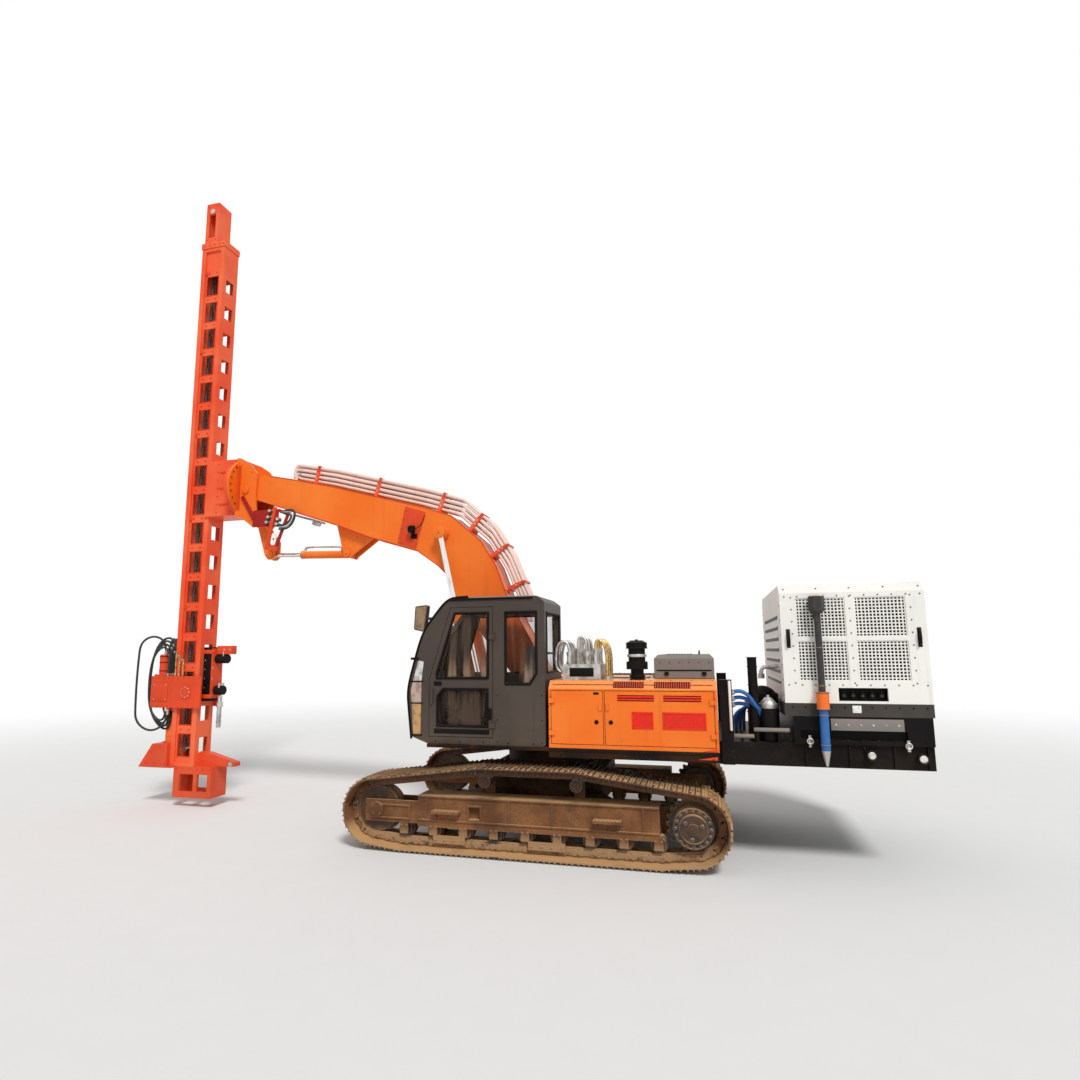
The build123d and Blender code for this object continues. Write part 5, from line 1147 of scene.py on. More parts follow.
class RIG_OT_cab(Operator):
    """Add seals, rails, wiper, mirror, levers and hinges to the cab"""

    bl_idname = "rig.cab"
    bl_label = "Cab trim"

    def outside(self):
        seals, door = Shape(), Shape()
        for outline, y in ((REAR_SIDE, -CAB_SIDE), (FAR_SIDE, -0.411)):
            seals.loop([at(x, y, z) for x, z in outline], 0.016)
        seals.loop([at(0.241, y, z) for y, z in (
            (-1.22, 2.04), (-1.22, 2.74), (-0.522, 2.74), (-0.522, 2.04))], 0.011)
        seals.loop([at(-1.452, -1.22, 1.9), at(-1.297, -1.22, 2.48), at(-1.297, -0.522, 2.48),
                    at(-1.452, -0.522, 1.9)], 0.011)
        seals.loop([at(-1.43, -1.22, 1.4), at(-1.467, -1.22, 1.8), at(-1.467, -0.522, 1.8),
                    at(-1.43, -0.522, 1.4)], 0.011)
        for outline in (DOOR_UPPER, DOOR_LOWER):
            door.loop([at(x, -CAB_SIDE, z) for x, z in outline], 0.016)
        seals.done("cab_seals", "black_paint", "house", "hose_rubber")
        door.done("cab_door_seals", "black_paint", "cab_door", "hose_rubber")

    def rails(self):
        black, bright = Shape(), Shape()
        black.pipe([at(x, -1.334, z) for x, z in (
            (-1.41, 1.26), (-1.45, 1.6), (-1.472, 1.83), (-1.40, 2.12), (-1.285, 2.52),
            (-1.13, 2.72), (-0.985, 2.895), (-0.86, 2.94), (-0.70, 2.94))], 0.013)
        black.box(at(-1.43, -1.345, 2.19), at(-1.33, -CAB_SIDE, 2.22), 0.003)
        for z in (1.30, 1.67, 1.925):
            black.box(at(-1.42, -1.343, z), at(-1.27, -CAB_SIDE, z + 0.016), 0.003)
        glass = Shape()
        glass.prism([at(x, -1.3315, z) for x, z in (
            (-1.385, 1.31), (-1.425, 1.83), (-1.335, 2.18), (-1.262, 2.17), (-1.288, 1.95),
            (-1.292, 1.31))], NEAR * 0.005)
        glass.done("corner_pane", "corner_glass", "house")
        black.box(at(-0.93, -1.345, 2.895), at(0.1, -1.329, 2.92), 0.004)
        for x in (-1.05, -0.72):
            black.box(at(x, -1.4, 1.19), at(x + 0.02, -1.33, 1.205), 0.002)
        black.box(at(-1.06, -1.42, 1.2), at(-0.66, -1.345, 1.213), 0.003)
        for x in row(-1.04, 0.042, 9):
            black.box(at(x, -1.415, 1.212), at(x + 0.01, -1.35, 1.22))
        black.rows((-0.33, 0.2), (-1.33,), (1.25, 1.5, 1.78), NEAR, 0.007)
        black.rows(row(-1.1, 0.3, 5), (-1.33,), (1.24,), NEAR, 0.008)
        for y in row(-1.12, 0.08, 7):
            black.box(at(0.239, y, 1.55), at(0.246, y + 0.05, 1.85), 0.002)
        black.rod(at(-0.33, -0.87, 2.93), at(-0.33, -0.87, 2.945), 0.02, 12)
        black.loop([at(-0.62, -1.12, 2.932), at(-0.05, -1.12, 2.932), at(-0.05, -0.62, 2.932),
                    at(-0.62, -0.62, 2.932)], 0.009)
        black.pipe([at(-1.4405, -0.86, 1.94), at(-1.463, -0.86, 1.96), at(-1.41, -0.80, 2.15),
                    at(-1.366, -0.74, 2.32)], 0.007)
        black.box(at(-1.424, -0.775, 2.12), at(-1.388, -0.765, 2.24), 0.002)
        black.rod(at(-1.434, -0.86, 1.93), at(-1.47, -0.86, 1.94), 0.028, 16, edge=0.003)
        strip = Shape().box(at(-0.68, -1.343, 2.92), at(0.08, -1.318, 2.934), 0.003)
        strip.done("roof_strip", "grey_paint", "house")
        bright.prism([at(x, -1.3205, z) for x, z in (
            (-1.392, 2.567), (-1.378, 2.828), (-1.238, 2.84), (-1.277, 2.54))], NEAR * 0.004)
        black.done("cab_trim", "black_paint", "house")
        bright.done("mirror_face", "mirror_glass", "house")

    def door(self):
        trim = Shape()
        trim.box(at(-1.13, -1.337, 1.885), at(-1.03, -1.328, 1.935), 0.003)
        trim.rod(at(-1.05, -1.337, 1.91), at(-1.05, -1.345, 1.91), 0.012, 14)
        trim.box(at(-1.12, -1.335, 1.33), at(-0.43, -1.329, 1.385), 0.003)
        trim.rows((-1.1, -0.78, -0.46), (-1.335,), (1.357,), NEAR, 0.006)
        trim.box(at(-0.44, -1.3445, 1.5), at(-0.4, -1.3295, 1.63), 0.003)
        trim.rows((-0.42,), (-1.3445,), (1.52, 1.61), NEAR, 0.008)
        trim.pipe([at(-0.94, -1.284, 1.9), at(-0.94, -1.25, 1.91), at(-0.75, -1.245, 1.92),
                   at(-0.56, -1.25, 1.91), at(-0.56, -1.284, 1.9)], 0.009)
        trim.done("cab_door_trim", "black_paint", "cab_door")

    def inside(self):
        black, grey = Shape(), Shape()
        for y in (-1.103, -0.637):
            black.rod(at(-0.59, y, 1.758), at(-0.59, y, 1.82), 0.036, 16, 0.016)
            black.rod(at(-0.59, y, 1.88), at(-0.6, y, 1.975), 0.018, 14, 0.026, edge=0.006)
            grey.box(at(-0.42, y - 0.034, 1.76), at(-0.17, y + 0.034, 1.79), 0.012)
            for x in row(-0.53, 0.035, 3):
                black.disc(at(x, y, 1.759), UP, 0.013, 0.008, 8, 0.0)
        for y in (-0.92, -0.82):
            black.rod(at(-1.06, y, 1.70), at(-1.06, y, 1.79), 0.02, 14, 0.024, edge=0.006)
            black.box(at(-1.18, y - 0.03, 1.42), at(-1.1, y + 0.03, 1.435), 0.003)
        black.box(at(-1.24, -0.60, 1.86), at(-1.2, -0.48, 2.06), 0.008)
        black.rod(at(-1.21, -0.54, 1.55), at(-1.215, -0.54, 1.87), 0.014, 12)
        black.box(at(-1.3, -0.60, 1.272), at(-1.12, -0.48, 1.56), 0.02)
        for z in row(1.30, 0.045, 5):
            grey.box(at(-0.565, -1.065, z), at(-0.015, -0.675, z + 0.02), 0.006)
        black.done("cab_levers", "black_paint", "house")
        grey.done("cab_pads", "dark_grey", "house")

    def execute(self, context):
        self.outside()
        self.rails()
        self.door()
        self.inside()
        return {"FINISHED"}


# The boom's outline: upper and lower edge, and the pipes' run along its back
BOOM_TOP = (
    (-4.36, 4.999), (-3.98, 4.92), (-3.30, 4.76), (-2.47, 4.53), (-1.76, 4.335), (-1.37, 4.195),
    (-0.925, 3.81), (-0.71, 3.46), (-0.54, 3.01), (-0.135, 2.2675),
)
BOOM_BELOW = (
    (-4.30, 4.540), (-3.25, 4.19), (-2.62, 3.95), (-1.90, 3.73), (-1.56, 3.49), (-1.365, 3.30),
    (-1.29, 3.02), (-0.60, 2.136),
)
PIPE_ROUTE = (
    (-3.90, 4.985), (-3.30, 4.855), (-1.85, 4.455), (-1.27, 4.265), (-0.82, 3.87), (-0.56, 3.46),
    (-0.33, 2.90),
)


class RIG_OT_boom(Operator):
    """Add edge strips, clamps' bolts, pin caps, a work lamp and cylinder pipes to the boom"""

    bl_idname = "rig.boom"
    bl_label = "Boom trim"

    def strips(self):
        red = Shape()
        for y in (-0.198, 0.198):
            for line in (BOOM_TOP, BOOM_BELOW):
                red.loop([at(x, y, z) for x, z in line], 0.0085, False)
        red.done("boom_edges", "red_trim", "boom")
        # A thin plate across each side of the boom, whose darker red is painted shade
        band = Shape()
        outline = ((-2.075, 4.372), (-1.762, 4.272), (-1.902, 3.762), (-2.185, 3.852))
        for side, out in SIDES:
            band.prism([at(x, side * BOOM_SIDE, z) for x, z in outline], out * 0.003)
            for share in row(0.12, 0.25, 4):
                for first, last, inward in ((0, 3, 0.025), (1, 2, -0.025)):
                    x, z = Vector(outline[first]).lerp(Vector(outline[last]), share)
                    band.bolt(at(x + inward, side * 0.213, z), out, 0.010)
        band.done("boom_band", "red_trim", "boom")

    def clamps(self):
        steel = Shape()
        for start, end in zip(PIPE_ROUTE, PIPE_ROUTE[1:]):
            run = Vector((end[0] - start[0], 0, end[1] - start[1])).normalized()
            out = Vector((-run.z, 0, run.x))
            if out.z < 0:
                out.negate()
            middle = at((start[0] + end[0]) / 2, 0, (start[1] + end[1]) / 2)
            top = 0.1 * abs(Vector((0.35, 0, 1)).dot(out)) + 0.036
            for y in (-0.127, 0.127):
                for step in (-0.012, 0.012):
                    steel.bolt(middle + out * top + run * step + Vector((0, y, 0)), out, 0.008)
            for y in (-0.137, 0.137):
                side = math.copysign(1, y)
                for rise in (0.01, 0.07):
                    steel.bolt(middle + out * rise + Vector((0, y, 0)), (0, side, 0), 0.009)
        for i in range(4):
            y = (i - 1.5) * 0.062
            for lift in (0.034, 0.1):
                x, z = -3.9 + lift * 0.35, 4.985 + lift
                steel.rod(at(x + 0.01, y, z - 0.002), at(x - 0.03, y, z + 0.006), 0.03, 6)
        steel.done("clamp_bolts", "machined_steel", "boom")
        ends, lines, straps = Shape(), Shape(), Shape()
        for i in range(4):
            y = (i - 1.5) * 0.062
            for lift, reach in ((0.034, 0.07), (0.1, 0.12)):
                x, z = -3.915 + lift * 0.35, 4.987 + lift
                ends.pipe([at(x - back, y, z + rise) for back, rise in (
                    (0.0, 0.0), (reach * 0.8, 0.02), (reach, -0.02), (reach, -0.12))], 0.021)
            for lift, reach in ((-0.03, 0.02), (0.167, 0.17)):
                run = [at(x + lift * 0.35, y, z + lift) for x, z in PIPE_ROUTE]
                tip = run[0] + Vector((-reach, 0, 0.03))
                run.append(run[-1] + Vector((0.07, 0, -0.18)))
                lines.pipe([tip - UP * (0.05 + lift), tip, *self.bent(run, 0.13)], 0.021, 8)
        ends.done("boom_pipe_ends", "pipe_paint", "boom")
        lines.done("boom_pipe_lines", "pipe_paint", "boom")
        for start, end in zip(PIPE_ROUTE, PIPE_ROUTE[1:]):
            run = Vector((end[0] - start[0], 0, end[1] - start[1])).normalized()
            out = Vector((-run.z, 0, run.x)) * (1 if run.x > 0 else -1)
            middle = at((start[0] + end[0]) / 2, 0, (start[1] + end[1]) / 2)
            rise = 0.167 * Vector((0.35, 0, 1)).dot(out)
            foot = middle + out * rise - run * 0.016
            corners = [foot + out * lift + Vector((0, y, 0)) for lift, y in (
                (-0.06, -0.142), (0.03, -0.142), (0.03, 0.142), (-0.06, 0.142), (-0.06, 0.128),
                (0.022, 0.128), (0.022, -0.128), (-0.06, -0.128))]
            straps.prism(corners, run * 0.032)
        straps.done("boom_straps", "red_trim", "boom")

    def bent(self, points, reach):
        """Points added beside each corner, so that a spline keeps to its straight runs."""
        bent = [points[0]]
        for before, corner, after in zip(points, points[1:], points[2:]):
            bent += [corner + (before - corner).normalized() * reach, corner,
                     corner + (after - corner).normalized() * reach]
        return [*bent, points[-1]]

    def pins(self):
        steel, caps = Shape(), Shape()
        for side, out in SIDES:
            caps.disc(at(-3.06, side * 0.112, 3.745), out, 0.012, 0.056)
            caps.bolt(at(-3.06, side * 0.124, 3.745), out, 0.016)
            for x, z in ((-3.12, 3.95), (-2.9, 3.98), (-2.72, 3.99)):
                caps.bolt(at(x, side * 0.1, z), out, 0.012)
            caps.bolt(at(-4.62, side * 0.2, 4.86), out, 0.012)
        steel.pipe([at(-3.96, -0.12, 4.375), at(-3.85, -0.12, 4.34), at(-3.6, -0.12, 4.27),
                    at(-3.44, -0.12, 4.215)], 0.016)
        steel.rod(at(-3.64, -0.12, 4.24), at(-3.52, -0.12, 4.205), 0.034, 6)
        steel.done("boom_line", "machined_steel", "boom")
        caps.done("boom_pins", "orange_paint", "boom")

    def lamp(self):
        """The work lamp on the band, facing forwards, with its bracket and wire."""
        case, lens = Shape(), Shape()
        x, y, z = -1.93, -0.262, 4.02
        case.box(at(x - 0.045, y - 0.055, z - 0.05), at(x + 0.03, y + 0.03, z + 0.05), 0.012)
        case.rod(at(x - 0.04, y - 0.012, z), at(x - 0.06, y - 0.012, z), 0.046, 24, edge=0.004)
        case.box(at(x - 0.012, y - 0.02, z - 0.10), at(x + 0.012, y + 0.05, z - 0.05), 0.004)
        case.box(at(x - 0.05, -0.222, z - 0.13), at(x + 0.05, -0.212, z - 0.06), 0.003)
        case.pipe([at(x + 0.03, y - 0.01, z), at(x + 0.09, y, z + 0.02),
                   at(x + 0.13, -0.222, z + 0.10), at(x + 0.16, -0.216, z + 0.2)], 0.005, 6)
        lens.rod(at(x - 0.059, y - 0.012, z), at(x - 0.064, y - 0.012, z), 0.038, 24)
        case.done("work_lamp", "black_paint", "boom")
        lens.done("work_lamp_lens", "lamp_glass", "boom")

    def cylinders(self):
        """Pipes, ports and glands on the three cylinders' barrels."""
        lift = Shape()
        foot, head = Vector((-0.9, 0, 1.42)), Vector((-1.49, 0, 3.94))
        run = (head - foot).normalized()
        out = Vector((-run.z, 0, run.x))
        for side in (-1, 1):
            base = at(foot.x, side * 0.32, foot.z)
            lift.pipe([base + run * s + out * d for s, d in (
                (0.16, 0.07), (0.16, 0.1), (0.22, 0.112), (0.8, 0.112), (1.4, 0.112), (1.46, 0.1),
                (1.46, 0.07))], 0.011)
            for s in (0.16, 1.46):
                lift.rod(base + run * s + out * 0.06, base + run * s + out * 0.094, 0.024, 6)
            for s in (0.5, 1.1):
                lift.box(base + run * s + out * 0.09 - Vector((0.012, 0.016, 0.012)),
                         base + run * s + out * 0.09 + Vector((0.012, 0.016, 0.012)), 0.003)
            for s in (1.5, 1.545):
                lift.ring(base + run * s, run, 0.0755, 0.006, 28)
        lift.done("lift_pipes", "machined_steel", "lift_barrels")
        tilt = Shape()
        foot, head = Vector((-3.06, 0, 3.745)), Vector((-4.41, 0, 3.79))
        run = (head - foot).normalized()
        base = at(foot.x, 0, foot.z)
        tilt.pipe([base + run * s + UP * d for s, d in (
            (0.14, 0.055), (0.14, 0.1), (0.2, 0.118), (0.45, 0.118), (0.72, 0.118), (0.78, 0.1),
            (0.78, 0.055))], 0.014)
        for s in (0.14, 0.78):
            tilt.rod(base + run * s + UP * 0.05, base + run * s + UP * 0.085, 0.024, 6)
        for s in (0.795, 0.825):
            tilt.ring(base + run * s, run, 0.0585, 0.005, 28)
        tilt.done("tilt_pipes", "machined_steel", "tilt_barrel")
        pins = Shape()
        for side, out in SIDES:
            pins.disc(at(-1.49, side * 0.361, 3.94), out, 0.010, 0.092, 28)
            pins.bolt(at(-1.49, side * 0.371, 3.94), out, 0.014)
        pins.done("lift_pin_caps", "orange_paint", "boom")

    def execute(self, context):
        self.strips()
        self.clamps()
        self.pins()
        self.lamp()
        self.cylinders()
        return {"FINISHED"}


class RIG_OT_head(Operator):
    """Add the slanted members, fittings, hose ends and bolts to the tilting head and the guide"""

    bl_idname = "rig.head"
    bl_label = "Head trim"

    def slanted(self, shape, start, end, width, y):
        """A flat bar between two points, its width across them."""
        a, b = at(start[0], y[0], start[1]), at(end[0], y[0], end[1])
        across = (b - a).normalized().cross(Vector((0, 1, 0))) * width / 2
        shape.prism([a - across, b - across, b + across, a + across], Vector((0, y[1] - y[0], 0)))

    def execute(self, context):
        red, steel, black, caps, in_shade, eye = (Shape() for i in range(6))
        for side, out in SIDES:
            caps.disc(at(-4.78, side * 0.248, 4.805), out, 0.010, 0.06, 28)
            caps.bolts(at(-4.78, side * 0.258, 4.805), out, 0.036, 3, 0.010, math.pi / 2)
            face, inner = side * 0.236, side * 0.234
            self.slanted(red, (-4.90, 5.20), (-4.90, 4.5), 0.03, (inner, side * 0.252))
            # This slanted bar's dark red is painted shade
            self.slanted(in_shade, (-4.83, 4.70), (-4.60, 4.33), 0.055, (inner, side * 0.260))
            for x, z in (
                    (-4.86, 5.22), (-4.86, 5.02), (-4.68, 5.08), (-4.66, 4.52), (-4.68, 4.32)):
                caps.bolt(at(x, face, z), out, 0.012)
            caps.disc(at(-4.41, side * 0.078, 3.79), out, 0.012, 0.054)
            for i in range(24):
                turn = i * math.pi / 12
                y = FLANGE_RADIUS * math.cos(turn)
                if abs(y) > 0.27:
                    z = FLANGE_Z + FLANGE_RADIUS * math.sin(turn)
                    caps.bolt(at(-4.93, y, z), BEHIND, 0.013)
        # The valve plate that hangs behind the head on the cab's side, and its slanted bars; the
        # plate and two of the bars are dark red, which is painted shade
        in_shade.box(at(-4.62, -0.252, 4.20), at(-4.16, -0.2425, 4.46), 0.003)
        self.slanted(red, (-4.216, 4.49), (-4.335, 3.86), 0.060, (-0.277, -0.2525))
        self.slanted(in_shade, (-3.985, 4.37), (-4.185, 3.84), 0.046, (-0.272, -0.2525))
        self.slanted(in_shade, (-4.16, 4.44), (-3.97, 4.36), 0.05, (-0.270, -0.2525))
        self.slanted(red, (-4.36, 3.88), (-4.15, 3.84), 0.07, (-0.2745, -0.2525))
        red.box(at(-4.34, -0.2535, 3.84), at(-4.26, -0.078, 3.90), 0.004)
        outline = []
        for i in range(16):
            turn, rise = i * math.pi / 8, 0.05 if i < 8 else -0.05
            outline.append(at(-4.216 + 0.045 * math.cos(turn) + 0.16 * rise, -0.274,
                              3.995 + 0.045 * math.sin(turn) + rise))
        eye.prism(outline, Vector((0, 0.014, 0)))
        black.rod(at(-4.216, -0.268, 3.995), at(-4.216, -0.277, 3.995), 0.014, 12)
        for x, z in (
                (-4.286, 4.428), (-4.309, 4.33), (-4.332, 4.252), (-4.142, 4.29), (-4.159, 4.215)):
            black.box(at(x - 0.036, -0.285, z - 0.032), at(x + 0.036, -0.2525, z + 0.028), 0.005)
            steel.rod(at(x, -0.28, z + 0.004), at(x, -0.312, z + 0.004), 0.025, 6)
            steel.rod(at(x - 0.045, -0.272, z + 0.01), at(x + 0.045, -0.272, z + 0.01), 0.014, 8)
        for bend, tube in ((0.0, black), (0.032, steel), (0.064, black)):
            tube.pipe([at(x, -0.285, z) for x, z in (
                (-4.10, 4.40), (-3.98, 4.43 - bend), (-3.87 - bend, 4.42 - bend),
                (-3.845 - bend, 4.32), (-3.90 - bend, 4.20 + bend * 0.4),
                (-4.0 - bend, 4.13 + bend), (-4.12, 4.14 + bend))], 0.015)
        red.done("head_members", "red_trim", "tilt_head")
        in_shade.done("head_bars", "deep_red", "tilt_head")
        eye.done("head_eye", "white_paint", "tilt_head")
        caps.done("head_bolts", "orange_paint", "tilt_head")
        steel.done("head_fittings", "machined_steel", "tilt_head")
        black.done("head_hoses", "hose_rubber", "tilt_head")
        guide = Shape()
        for i in range(24):
            turn = i * math.pi / 12
            y = FLANGE_RADIUS * math.cos(turn)
            if abs(y) > 0.22:
                z = FLANGE_Z + FLANGE_RADIUS * math.sin(turn)
                guide.bolt(at(-5.02, y, z), AHEAD, 0.013)
        for side, out in SIDES:
            guide.rows((-5.34, -5.09), (side * 0.198,), row(4.49, 0.13, 7), out, 0.011)
            low = side * 0.1975
            for z in (4.60, 4.86, 5.12):
                guide.box(at(-5.30, low, z), at(-5.13, low + side * 0.012, z + 0.03), 0.003)
        guide.done("guide_bolts", "red_trim", "guide")
        return {"FINISHED"}


class RIG_OT_mast(Operator):
    """Add the feed chain, bolts, sheave pins and foot details to the mast"""

    bl_idname = "rig.mast"
    bl_label = "Mast trim"

    def chain(self):
        """Both strands of the roller chain inside the mast, over a wheel at each end."""
        link = Shape()
        for y, low, high in ((0.022, -0.012, 0.05), (0.03, 0.026, 0.088)):
            for hand in (-1, 1):
                link.box((-0.016, hand * y - 0.003, low), (0.016, hand * y + 0.003, high))
        for z in (0.0, 0.038):
            link.rod((0, -0.036, z), (0, 0.036, z), 0.009, 8)
        places = [
            Matrix.Translation(at(x, 0, z)) for x in (-5.83, -5.62) for z in row(0.86, 0.076, 106)
        ]
        chain = Shape().scatter(link, places)
        for z in (0.83, 8.95):
            centre = at(-5.725, 0, z)
            chain.disc(at(-5.725, 0.018, z), NEAR, 0.036, 0.10, 28, 0.004)
            chain.disc(at(-5.725, 0.12, z), NEAR, 0.24, 0.03, 16, 0.0)
            for i in range(14):
                turn = i * math.pi / 7
                tooth = Vector((math.cos(turn), 0, math.sin(turn)))
                chain.rod(centre + tooth * 0.09, centre + tooth * 0.118, 0.014, 6, 0.007)
        chain.done("feed_chain", "roller_steel", "mast")

    def execute(self, context):
        self.chain()
        red, steel = Shape(), Shape()
        for side, out in SIDES:
            web = side * 0.144
            for i, low in enumerate(row(WINDOW_FOOT, WINDOW_PITCH, WINDOWS)):
                if low + 0.405 < BEAM_TOP:
                    red.rows((-5.80, -5.65), (web,), (low + 0.405,), out, 0.013)
                for x in (-5.841, -5.611):
                    red.rod(at(x, web, low - 0.01), at(x, web, low + 0.35), 0.007, 6)
                for z in (low, low + 0.34):
                    red.rod(at(-5.841, web, z), at(-5.611, web, z), 0.007, 6)
                if i % 3 == 1:
                    red.box(
                        at(-5.865, web, low + 0.37), at(-5.835, side * 0.163, low + 0.43), 0.004)
            red.rows((-5.9, -5.8, -5.7, -5.6, -5.53), (side * 0.182,), (9.15,), out, 0.012)
            steel.disc(at(-5.80, side * 0.15, 9.80), out, 0.015, 0.045, 22)
            red.rows((-5.89, -5.72), (side * 0.15,), (9.28, 9.9), out, 0.011)
            red.rows(row(-5.81, 0.12, 6), (side * 0.17,), (0.565,), out, 0.013)
            for x, z in ((-6.34, 0.64), (-6.24, 0.80), (-6.08, 0.88), (-5.98, 0.64), (-6.17, 0.64)):
                red.bolt(at(x, side * 0.23, z), out, 0.012)
            red.box(at(-6.41, side * 0.228, 0.575), at(-5.96, side * 0.24, 0.60), 0.004)
            steel.disc(at(-4.93, side * 0.06, 0.635), out, 0.015, 0.034, 20)
            red.rows((-5.42, -5.30), (side * 0.06,), (0.66, 0.74), out, 0.011)
            steel.rows((-5.47,), (side * 0.09,), row(1.62, 0.14, 6), out, 0.010)
            red.box(at(-5.50, side * 0.088, 1.60), at(-5.34, side * 0.098, 1.66), 0.003)
            red.box(at(-5.50, side * 0.088, 2.28), at(-5.34, side * 0.098, 2.34), 0.003)
        red.ring(at(DRILL_X, 0, 0.92), UP, 0.118, 0.011, 32)
        red.box(at(-5.335, -0.12, 1.60), at(-5.322, 0.12, 2.36), 0.003)
        steel.rows((-5.322,), (-0.1, 0.1), (1.64, 1.9, 2.06, 2.32), BEHIND, 0.012)
        red.box(at(-5.30, -0.055, 2.27), at(-5.02, 0.055, 2.40), 0.01)
        for side, out in SIDES:
            steel.rows((-5.26, -5.16, -5.06), (side * 0.055,), (2.34,), out, 0.012)
        steel.rod(at(-5.24, 0, 1.64), at(-5.24, 0, 1.16), 0.034, 20, edge=0.004)
        steel.rod(at(-5.24, 0, 1.54), at(-5.24, 0, 1.47), 0.05, 6)
        steel.ring(at(-5.24, 0, 1.24), UP, 0.036, 0.007)
        for z, x in ((2.2, -5.13), (1.72, -5.18)):
            for y in (-0.045, 0.045):
                steel.rod(at(x - 0.05, y, z + 0.04), at(x - 0.05, y, z + 0.11), 0.016, 6)
        steel.rows(row(-5.92, 0.1, 5), (0,), (9.2,), UP, 0.011)
        red.done("mast_bolts", "red_trim", "mast")
        steel.done("mast_fittings", "machined_steel", "mast")
        return {"FINISHED"}


class RIG_OT_rotary(Operator):
    """Add flanges, covers, unions and bolts to the rotary head and its pipe"""

    bl_idname = "rig.rotary"
    bl_label = "Rotary head trim"

    def execute(self, context):
        red, steel, gold, black = Shape(), Shape(), Shape(), Shape()
        for side, out in SIDES:
            x, y = -6.2, side * 0.11
            red.box(at(x - 0.1, y - 0.1, 1.939), at(x + 0.1, y + 0.1, 1.965), 0.005)
            steel.rows((x - 0.084, x + 0.084), (y - 0.084, y + 0.084), (1.965,), UP, 0.011)
            for z in (2.02, 2.15, 2.24):
                black.ring(at(x, y, z), UP, 0.081, 0.006, 28)
            steel.bolts(at(x, y, 2.27), UP, 0.062, 6, 0.008)
            face = side * ROTARY_SIDE
            places = row(-6.30, 0.1, 4) + row(-5.92, 0.096, 6)
            red.rows(places, (face,), (1.485, 1.915), out, 0.012)
            red.disc(at(-5.68, face, 1.70), out, 0.012, 0.10, 32)
            steel.bolts(at(-5.68, face + side * 0.012, 1.70), out, 0.078, 8, 0.009)
            red.box(at(-6.29, face, 1.56), at(-6.01, face + side * 0.008, 1.84), 0.003)
            steel.rows((-6.26, -6.04), (face + side * 0.008,), (1.59, 1.81), out, 0.008)
            for i, x in enumerate((-5.90, -5.83, -5.76)):
                y = side * 0.2175
                top = 2.30 - i * 0.06
                gold.rod(at(x, y, 1.938), at(x, y, top), 0.0115, 12)
                for z in (1.955, top - 0.06, top - 0.01):
                    gold.rod(at(x, y, z), at(x, y, z + 0.03), 0.0145, 6)
                steel.rod(at(x, y, top), at(x, side * 0.262, top + 0.012), 0.012, 10)
        for x in row(-6.085, 0.025, 5):
            red.box(at(x, -0.2, 1.939), at(x + 0.012, 0.2, 1.958), 0.002)
        red.box(at(-6.338, -0.17, 1.5), at(-6.328, 0.17, 1.9), 0.004)
        steel.rows((-6.338,), (-0.145, 0, 0.145), (1.525, 1.875), AHEAD, 0.012)
        black.rod(at(-6.33, 0, 1.70), at(-6.346, 0, 1.70), 0.05, 20, edge=0.003)
        steel.bolts(at(DRILL_X, 0, 1.46), -UP, 0.12, 10, 0.010)
        red.ring(at(DRILL_X, 0, 1.458), UP, 0.1, 0.01, 30)
        hoses = Shape()
        for i, y in enumerate((-0.105, -0.145, -0.185, -0.222, 0.145, 0.19)):
            k = i % 4
            hoses.pipe([at(x + inward * k, y, z + shift * k) for x, z, inward, shift in (
                (-6.03, 1.94, 0, 0), (-6.02, 2.22, 0, 0), (-6.035, 2.44, 0, -0.04),
                (-6.14, 2.55, 0, -0.05), (-6.31, 2.49, 0.02, -0.05), (-6.43, 2.29, 0.03, -0.03),
                (-6.475, 1.95, 0.032, 0), (-6.468, 1.62, 0.032, 0), (-6.41, 1.36, 0.03, 0.02),
                (-6.28, 1.19, 0.02, 0.04), (-6.12, 1.11, 0, 0.05), (-6.04, 1.2, 0, 0.04),
                (-6.03, 1.46, 0, 0))], 0.0165)
            steel.rod(at(-6.03, y, 1.937), at(-6.03, y, 1.985), 0.021, 6)
            steel.rod(at(-6.03, y, 1.462), at(-6.03, y, 1.41), 0.021, 6)
        hoses.done("rotary_bundle", "hose_rubber", "rotary_head")
        red.done("rotary_covers", "red_trim", "rotary_head")
        steel.done("rotary_bolts", "machined_steel", "rotary_head")
        gold.done("rotary_unions", "brass", "rotary_head")
        black.done("rotary_bands", "black_paint", "rotary_head")
        pipe = Shape()
        for z in (1.385, 1.30):
            pipe.ring(at(DRILL_X, 0, z), UP, 0.084, 0.008, 32)
        for i in range(8):
            turn = i * math.pi / 4
            centre = at(DRILL_X + 0.082 * math.cos(turn), 0.082 * math.sin(turn), 1.345)
            pipe.bolt(centre, Vector((math.cos(turn), math.sin(turn), 0)), 0.010)
        for z in (1.12, 1.02, 0.77):
            pipe.ring(at(DRILL_X, 0, z), UP, 0.082, 0.004, 32)
        pipe.done("drill_pipe_joints", "roller_steel", "spindle")
        return {"FINISHED"}


